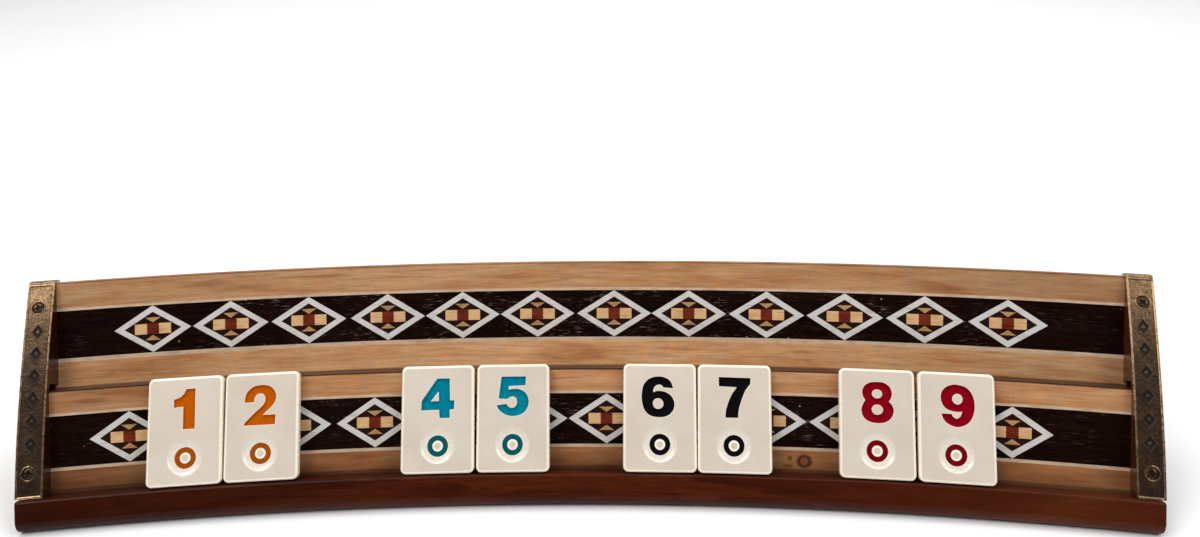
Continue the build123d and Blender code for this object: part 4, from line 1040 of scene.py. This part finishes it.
def make_tile(number, angle):
    b = Builder()
    rect = rounded([(-TILE_W / 2, -TILE_H / 2, 2.1), (TILE_W / 2, -TILE_H / 2, 2.1), (TILE_W / 2, TILE_H / 2, 2.1), (-TILE_W / 2, TILE_H / 2, 2.1)], 8)
    rect = resample(rect, 4.0)
    prev = None
    first = None
    rb, rf = 0.7, 0.95
    steps = [(rb * (1 - math.sin(w)), rb * (1 - math.cos(w))) for w in np.linspace(0, math.pi / 2, 5)]
    steps += [(rf * (1 - math.cos(w)), TILE_D - rf * (1 - math.sin(w))) for w in np.linspace(0, math.pi / 2, 6)]
    for ins, z in steps:
        pts = offset(rect, -ins)
        ids = b.ring(pts, z)
        if prev:
            # the front rounding takes the painted rim highlight (slot 3)
            b.strip(prev[1], ids, 3 if z > TILE_D - rf - 0.05 else 0)
        else:
            first = (pts, ids)
        prev = (pts, ids)
    b.plate([first], 0.0, 0, flip=True)
    top = TILE_D
    plate_loops = [prev]
    outers, holes = DIGITS[number]
    pts = np.array([q[:2] for shape in outers for q in shape])
    lo, hi = pts.min(0), pts.max(0)
    left, right_, low, up = DIGIT_BOX[number]
    grow = np.array([(right_ - left) / (hi[0] - lo[0]), (up - low) / (hi[1] - lo[1])])
    move = np.array([left, low]) - lo * grow
    floors = []
    profile = [(0.24, 0.0), (0.12, -0.03), (0.03, -0.11), (0.0, -0.24), (-0.04, -0.82)]
    for sign, group in ((1, outers), (-1, holes)):
        for shape in group:
            if isinstance(shape[0], (int, float)):
                loop = circle(shape[0], shape[1], shape[2], shape[3], 28)
            else:
                loop = catmull(shape, True, 5)
            loop = resample(ccw(loop), 1.6) * grow + move
            last = None
            for off, dz in profile:
                pts = offset(loop, sign * off)
                ids = b.ring(pts, top + dz)
                if last:
                    # the lips of the engraving take the painted rim highlight, its walls and floor the ink
                    b.strip(last[1], ids, 3 if dz > -0.1 else 1, flip=sign < 0)
                else:
                    plate_loops.append((pts, ids))
                last = (pts, ids)
            floors.append(last)
    b.plate(floors, top - 0.82, 1)
    dish = [(6.55, 0.0), (6.42, -0.06), (6.2, -0.22), (5.9, -0.42), (5.5, -0.58), (5.0, -0.68), (4.5, -0.72), (4.1, -0.73), (3.95, -0.75), (3.86, -0.86),
            (3.7, -0.94), (2.2, -0.94), (2.08, -0.86), (2.0, -0.75), (1.86, -0.73), (1.2, -0.72)]
    last = None
    for i, (r, dz) in enumerate(dish):
        pts = circle(DISH_X[number], -9.92, r, n=56)
        ids = b.ring(pts, top + dz)
        if last:
            mid = (r + last[2]) / 2
            # the ring groove in ring ink, the slope inside it in the painted rim highlight, the outer slope in the
            # painted dish highlight
            b.strip(last[1], ids, 2 if 3.93 > mid > 2.02 else 3 if mid < 2.02 else 4)
        else:
            plate_loops.append((pts, ids))
        last = (pts, ids, r)
    b.plate([last[:2]], top - 0.72, 0)
    b.plate(plate_loops, top, 0)
    lean = TILE_LEAN * D2R
    m = panel_matrix(angle, TILE_T - math.cos(lean) * TILE_H / 2, TILE_N - math.sin(lean) * TILE_H / 2, TILE_LEAN)
    v = np.array(b.v) * 0.001
    rot = np.array(m.to_3x3())
    v = v @ rot.T + np.array(m.translation)
    colour = INKS[TILE_INK[number]]
    ob = make_object("numbered_tile_%d" % number, v, b.f, [M_IVORY, colour[0], colour[1], M_IVORY_HIGHLIGHT, M_DISH_HIGHLIGHT], b.m, body="tile_%d_loose" % number)
    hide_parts("tile_%d" % number)
    return ob


for number, angle in TILES.items():
    make_tile(number, angle)

# ------------------------------------------------------------------ brass strips and screws
STOP_TOP, STOP_MID, STOP_LOW = (-0.75, 1.0), (40.56, 11.8), (79.3, 17.53)
STRIP = 1.0
SCREW_T = (9.3, 70.3)


def circle3(p, q, r):
    ax, ay, bx, by, cx, cy = *p, *q, *r
    d = 2 * (ax * (by - cy) + bx * (cy - ay) + cx * (ay - by))
    ux = ((ax**2 + ay**2) * (by - cy) + (bx**2 + by**2) * (cy - ay) + (cx**2 + cy**2) * (ay - by)) / d
    uy = ((ax**2 + ay**2) * (cx - bx) + (bx**2 + by**2) * (ax - cx) + (cx**2 + cy**2) * (bx - ax)) / d
    return (ux, uy), math.hypot(ax - ux, ay - uy)


(EDGE_Y, EDGE_Z), EDGE_R = circle3((TOP_Y, TOP_Z), (63.3, 72.0), (BACK_Y, 65.5))
EDGE_A = math.atan2(TOP_Z - EDGE_Z, TOP_Y - EDGE_Y)
HOOK = 4.0 / EDGE_R


def strip_path():
    """Outer line of the strip at even steps, from the hook's end over the bend and down to the ledge."""
    hook = [(EDGE_Y + (EDGE_R + STRIP) * math.cos(EDGE_A - HOOK + HOOK * k / 8), EDGE_Z + (EDGE_R + STRIP) * math.sin(EDGE_A - HOOK + HOOK * k / 8)) for k in range(7)]
    face = arc3(P(*STOP_TOP), P(*STOP_MID), P(*STOP_LOW), 60)
    line = rounded([(face[-1][0] + 30, face[-1][1] - 30), *hook[:1], *hook[1:], (*face[0], 1.5), *face[2:]], 6)[1:]
    seg = np.linalg.norm(np.diff(line, axis=0), axis=1)
    run = np.concatenate([[0], np.cumsum(seg)])
    m = int(run[-1] / 0.27)
    l = np.linspace(0, run[-1], m + 1)
    pts = np.stack([np.interp(l, run, line[:, 0]), np.interp(l, run, line[:, 1])], 1)
    tan = np.gradient(pts, axis=0)
    tan /= np.linalg.norm(tan, axis=1, keepdims=True)
    nor = np.stack([tan[:, 1], -tan[:, 0]], 1)
    if nor[m // 2, 0] > 0:
        nor = -nor
    t = S * (TOP_Y - pts[:, 0]) + C * (TOP_Z - pts[:, 1])
    return l, pts, nor, t


def value_noise(x, y, seed):
    """Smooth noise from seeded lattice values, about -1 to 1."""
    g = np.random.RandomState(seed).rand(64, 512) * 2 - 1
    xi, yi = np.floor(x).astype(int), np.floor(y).astype(int)
    fx, fy = x - xi, y - yi
    fx, fy = fx * fx * (3 - 2 * fx), fy * fy * (3 - 2 * fy)
    q = lambda a, b: g[a % 64, b % 512]
    return (q(xi, yi) * (1 - fx) + q(xi + 1, yi) * fx) * (1 - fy) + (q(xi, yi + 1) * (1 - fx) + q(xi + 1, yi + 1) * fx) * fy


def smooth(x, lo, hi):
    w = np.clip((x - lo) / (hi - lo), 0, 1)
    return w * w * (3 - 2 * w)


LOZENGES = [18.6 + 8.3 * k for k in range(6)]


def brass_strip(side, sign, seed):
    l, pts, nor, t = strip_path()
    nw = 38
    frac = np.linspace(0, 1, nw + 1)
    proud = 0.022 * smooth(t, 2.0, 78.0)                                # the outer edge stands a little proud of the end, most at the bottom
    a = (STOP_IN + (END - STOP_IN + proud[:, None]) * frac[None, :]) * sign
    w = (frac - 0.5) * (END - STOP_IN) * D2R * (ARC_R + 45)             # mm from the strip's middle
    L, Wd = np.meshgrid(l, w, indexing="ij")
    T = np.broadcast_to(t[:, None], L.shape)
    bend = float(np.interp(0.4, t[10:], l[10:]))
    half = (END - STOP_IN) / 2 * D2R * (ARC_R + 45)
    edge_d = np.minimum(half - np.abs(Wd), l[-1] - L)
    rim_d = np.minimum(edge_d, np.where(L > bend, L - bend, 9.0))
    wob = 0.012 * value_noise(L / 2.3, Wd / 2.3 + 40, seed)
    field = smooth(rim_d + wob, 0.55, 0.9)
    on_face = smooth(L, bend - 0.3, bend + 0.1)
    peb = 0.035 * value_noise(L / 0.62, Wd / 0.62, seed + 1) + 0.03 * value_noise(L / 0.33, Wd / 0.33, seed + 2)
    h = -0.26 * field * on_face + peb * np.where(L > bend, field, 0.5) - 0.04
    h -= 0.03 * np.abs(value_noise(L / 4.0, Wd / 1.2, seed + 3)) * (1 - field)
    kind = np.where((field < 0.45) & (L > bend - 0.25), 1, 0)
    for k, lt in enumerate(LOZENGES):
        lc = float(np.interp(lt, t[10:], l[10:]))
        d = np.abs(L - lc) / 2.9 + np.abs(Wd) / 2.1
        h -= 0.38 * smooth(1.0 - d, -0.02, 0.26)
        h += 0.13 * (smooth(1.26 - d, 0.0, 0.12) - smooth(1.0 - d, -0.05, 0.08))
        inner = np.abs(L - lc) / 1.15 + np.abs(Wd) / 0.82
        h += 0.26 * smooth(1.0 - inner, -0.05, 0.5)
        kind = np.where((d < 0.98) & (inner > 1.0), 2, kind)
    for st in SCREW_T:
        lc = float(np.interp(st, t[10:], l[10:]))
        # the strip's own middle is 8.70 degrees; the screws stand at 8.72
        ws = (8.72 - (STOP_IN + END) / 2) * D2R * (ARC_R + 45)
        rho = np.hypot(L - lc, Wd - ws)
        ring = smooth(rho, 2.2, 2.36) * (1 - smooth(rho, 2.52, 2.74))
        h = np.where(rho < 2.9, h * (1 - ring) - 0.03 * ring, h)
        h = np.where(rho < 2.4, -0.9 + (h + 0.9) * smooth(rho, 2.12, 2.36), h)
        kind = np.where((rho > 2.25) & (rho < 2.62), 1, kind)
        kind = np.where(rho <= 2.25, 2, kind)
    ed = half - np.abs(Wd)
    ed = np.minimum(np.minimum(ed, l[-1] - L), L)
    r = 0.28
    e = np.clip(ed, 0, r)
    h = h - (r - np.sqrt(np.clip(r * r - (r - e) ** 2, 0, None)))
    outer = pts[:, None, :] + nor[:, None, :] * h[..., None]
    inner = pts[:, None, :] - nor[:, None, :] * (STRIP - 0.02)
    inner = np.broadcast_to(inner, outer.shape)
    v0 = world(outer[..., 0], outer[..., 1], a)
    v1 = world(inner[..., 0], inner[..., 1], a)
    n, m = v0.shape[:2]
    verts = np.vstack([v0.reshape(-1, 3), v1.reshape(-1, 3)])
    flip = sign > 0
    f0 = grid_faces(n, m, False, flip=flip)
    f1 = grid_faces(n, m, False, flip=not flip) + n * m
    k4 = (kind[:-1, :-1] + kind[1:, :-1] + kind[:-1, 1:] + kind[1:, 1:]) / 4
    km = np.where(k4 > 1.4, 2, np.where((k4 >= 0.5) & (np.maximum(kind[:-1, :-1], kind[1:, 1:]) == 1), 1, np.where(k4 > 1.0, 2, 0)))
    faces, fm = list(map(tuple, f0)) + list(map(tuple, f1)), list(km.ravel()) + [0] * len(f1)
    border = [i * m for i in range(n)] + [(n - 1) * m + j for j in range(1, m)] + [i * m + m - 1 for i in range(n - 2, -1, -1)] + [j for j in range(m - 2, 0, -1)]
    for i in range(len(border)):
        p, q = border[i], border[(i + 1) % len(border)]
        quad = (p, q, q + n * m, p + n * m)
        faces.append(quad if flip else quad[::-1])
        fm.append(1)
    ob = make_object("brass_strip_" + side, verts, faces, [M_BRASS, M_RIM, M_DARKMETAL], fm)
    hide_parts("end_stop_" + side)
    return l, pts, nor, t


def screw_heads(side, sign, path, seed):
    l, pts, nor, t = path
    rng = np.random.RandomState(seed)
    verts, faces, fm = [], [], []
    for st in SCREW_T:
        lc = float(np.interp(st, t[10:], l[10:]))
        i = int(np.searchsorted(l, lc))
        p, q = pts[i], nor[i]
        a = 8.72 * sign
        o = world(p[0], p[1], a)
        s, c = math.sin(a * D2R), math.cos(a * D2R)
        zd = Vector((q[0] * s, q[0] * c, q[1])).normalized()
        xd = Vector((c, -s, 0))
        yd = zd.cross(xd)
        spin = rng.uniform(0, math.pi / 2)
        radii = np.concatenate([np.linspace(0.08, 1.86, 22), [1.95, 2.01, 2.03, 2.03]])
        nphi = 72
        base = len(verts)
        phi = np.arange(nphi) * 2 * math.pi / nphi
        kinds = []
        for k, r in enumerate(radii):
            x, y = r * np.cos(phi), r * np.sin(phi)
            xr, yr = x * math.cos(spin) + y * math.sin(spin), -x * math.sin(spin) + y * math.cos(spin)
            dome = -0.14 - 0.30 * (r / 2.0) ** 2 if r < 1.9 else -0.45
            if k == len(radii) - 3:
                dome = -0.47
            if k == len(radii) - 2:
                dome = -0.56
            if k == len(radii) - 1:
                dome = -1.6
            arm = np.minimum(np.abs(xr), np.abs(yr))
            along = np.maximum(np.abs(xr), np.abs(yr))
            hw = 0.52 - 0.15 * along
            cut = smooth(hw - arm, -0.04, 0.10) * (1 - smooth(along, 1.25, 1.6)) * (0.8 - 0.25 * along)
            hollow = 0.45 * (1 - smooth(np.full(nphi, r), 0.35, 0.75))
            z = dome - np.maximum(cut, hollow)
            kinds.append(cut > 0.12)
            for xx, yy, zz in zip(x, y, z):
                verts.append(Vector(o) + (xd * float(xx) + yd * float(yy) + zd * float(zz)) * 0.001)
        nr = len(radii)
        for k in range(nr - 1):
            for j in range(nphi):
                j2 = (j + 1) % nphi
                faces.append((base + k * nphi + j, base + (k + 1) * nphi + j, base + (k + 1) * nphi + j2, base + k * nphi + j2))
                fm.append(1 if (kinds[k][j] and kinds[k + 1][j2]) else 0)
        verts.append(Vector(o) + zd * (-0.85 * 0.001))
        for j in range(nphi):
            faces.append((base + j, base + (j + 1) % nphi, len(verts) - 1))
            fm.append(1)
        verts.append(Vector(o) + zd * (-1.6 * 0.001))
        last = base + (nr - 1) * nphi
        for j in range(nphi):
            faces.append((last + (j + 1) % nphi, last + j, len(verts) - 1))
            fm.append(0)
    ob = make_object("strip_screws_" + side, verts, faces, [M_SCREW, M_DARKMETAL], fm)
    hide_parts("stop_screws_" + side)


for side, sign, seed in (("left", -1, 11), ("right", 1, 23)):
    screw_heads(side, sign, brass_strip(side, sign, seed), seed)

# ------------------------------------------------------------------ floor, light, camera
fm = Mat("pale_floor")
fo = fm.object_mm()
fg = fm.noise(fo, 0.004, 3, 0.5)
floor_mat = fm.finish(fm.ramp(fg, [(0.3, (0.91, 0.91, 0.915, 1)), (0.7, (0.94, 0.94, 0.945, 1))]), 0.6)
me = bpy.data.meshes.new("floor")
me.from_pydata([(-4, -3, 0), (4, -3, 0), (4, 5, 0), (-4, 5, 0)], [], [(0, 1, 2, 3)])
floor = bpy.data.objects.new("floor", me)
SCENE.collection.objects.link(floor)
me.materials.append(floor_mat)

world_ = bpy.data.worlds.new("studio")
SCENE.world = world_
world_.use_nodes = True
bg = world_.node_tree.nodes["Background"]
bg.inputs[0].default_value = (1.0, 0.985, 0.965, 1)
bg.inputs[1].default_value = 0.16


def area(name, where, target, size, size_y, power, colour=(1, 1, 1)):
    li = bpy.data.lights.new(name, "AREA")
    li.shape = "RECTANGLE"
    li.size, li.size_y = size, size_y
    li.energy = power
    li.color = colour
    ob = bpy.data.objects.new(name, li)
    SCENE.collection.objects.link(ob)
    ob.location = where
    ob.rotation_euler = (Vector(target) - Vector(where)).to_track_quat("-Z", "Y").to_euler()
    return ob


area("key_softbox", (-0.75, -0.55, 1.25), (0, 0, 0.04), 0.9, 0.7, 11, (1.0, 0.985, 0.96))
area("fill_softbox", (0.95, -0.45, 1.05), (0, 0, 0.04), 0.9, 0.7, 8, (0.985, 0.99, 1.0))
area("top_softbox", (0.0, 0.25, 1.35), (0, 0.02, 0.03), 1.5, 0.6, 9, (1, 1, 1))
area("back_softbox", (0.0, 0.95, 1.0), (0, 0.72, 0), 2.2, 0.8, 9, (1, 1, 1))

cam = bpy.data.cameras.new("camera")
cam.sensor_width = 36.0
cam.lens = 1055.0 / 1200 * 36
cam.shift_y = (150.0 - 268.5) / 1200
cam.clip_start, cam.clip_end = 0.01, 20
cam_ob = bpy.data.objects.new("camera", cam)
SCENE.collection.objects.link(cam_ob)
p, yw, rl = 20.68 * D2R, -1.97 * D2R, -1.28 * D2R
fwd = Vector((math.sin(yw) * math.cos(p), math.cos(yw) * math.cos(p), -math.sin(p)))
right = Vector((math.cos(yw), -math.sin(yw), 0))
upv = right.cross(fwd)
r2 = right * math.cos(rl) + upv * math.sin(rl)
u2 = -right * math.sin(rl) + upv * math.cos(rl)
mw = Matrix((r2, u2, -fwd)).transposed().to_4x4()
mw.translation = Vector((20.8, -349.3, 267.8)) * 0.001
cam_ob.matrix_world = mw
SCENE.camera = cam_ob
SCENE.view_settings.view_transform = "Standard"
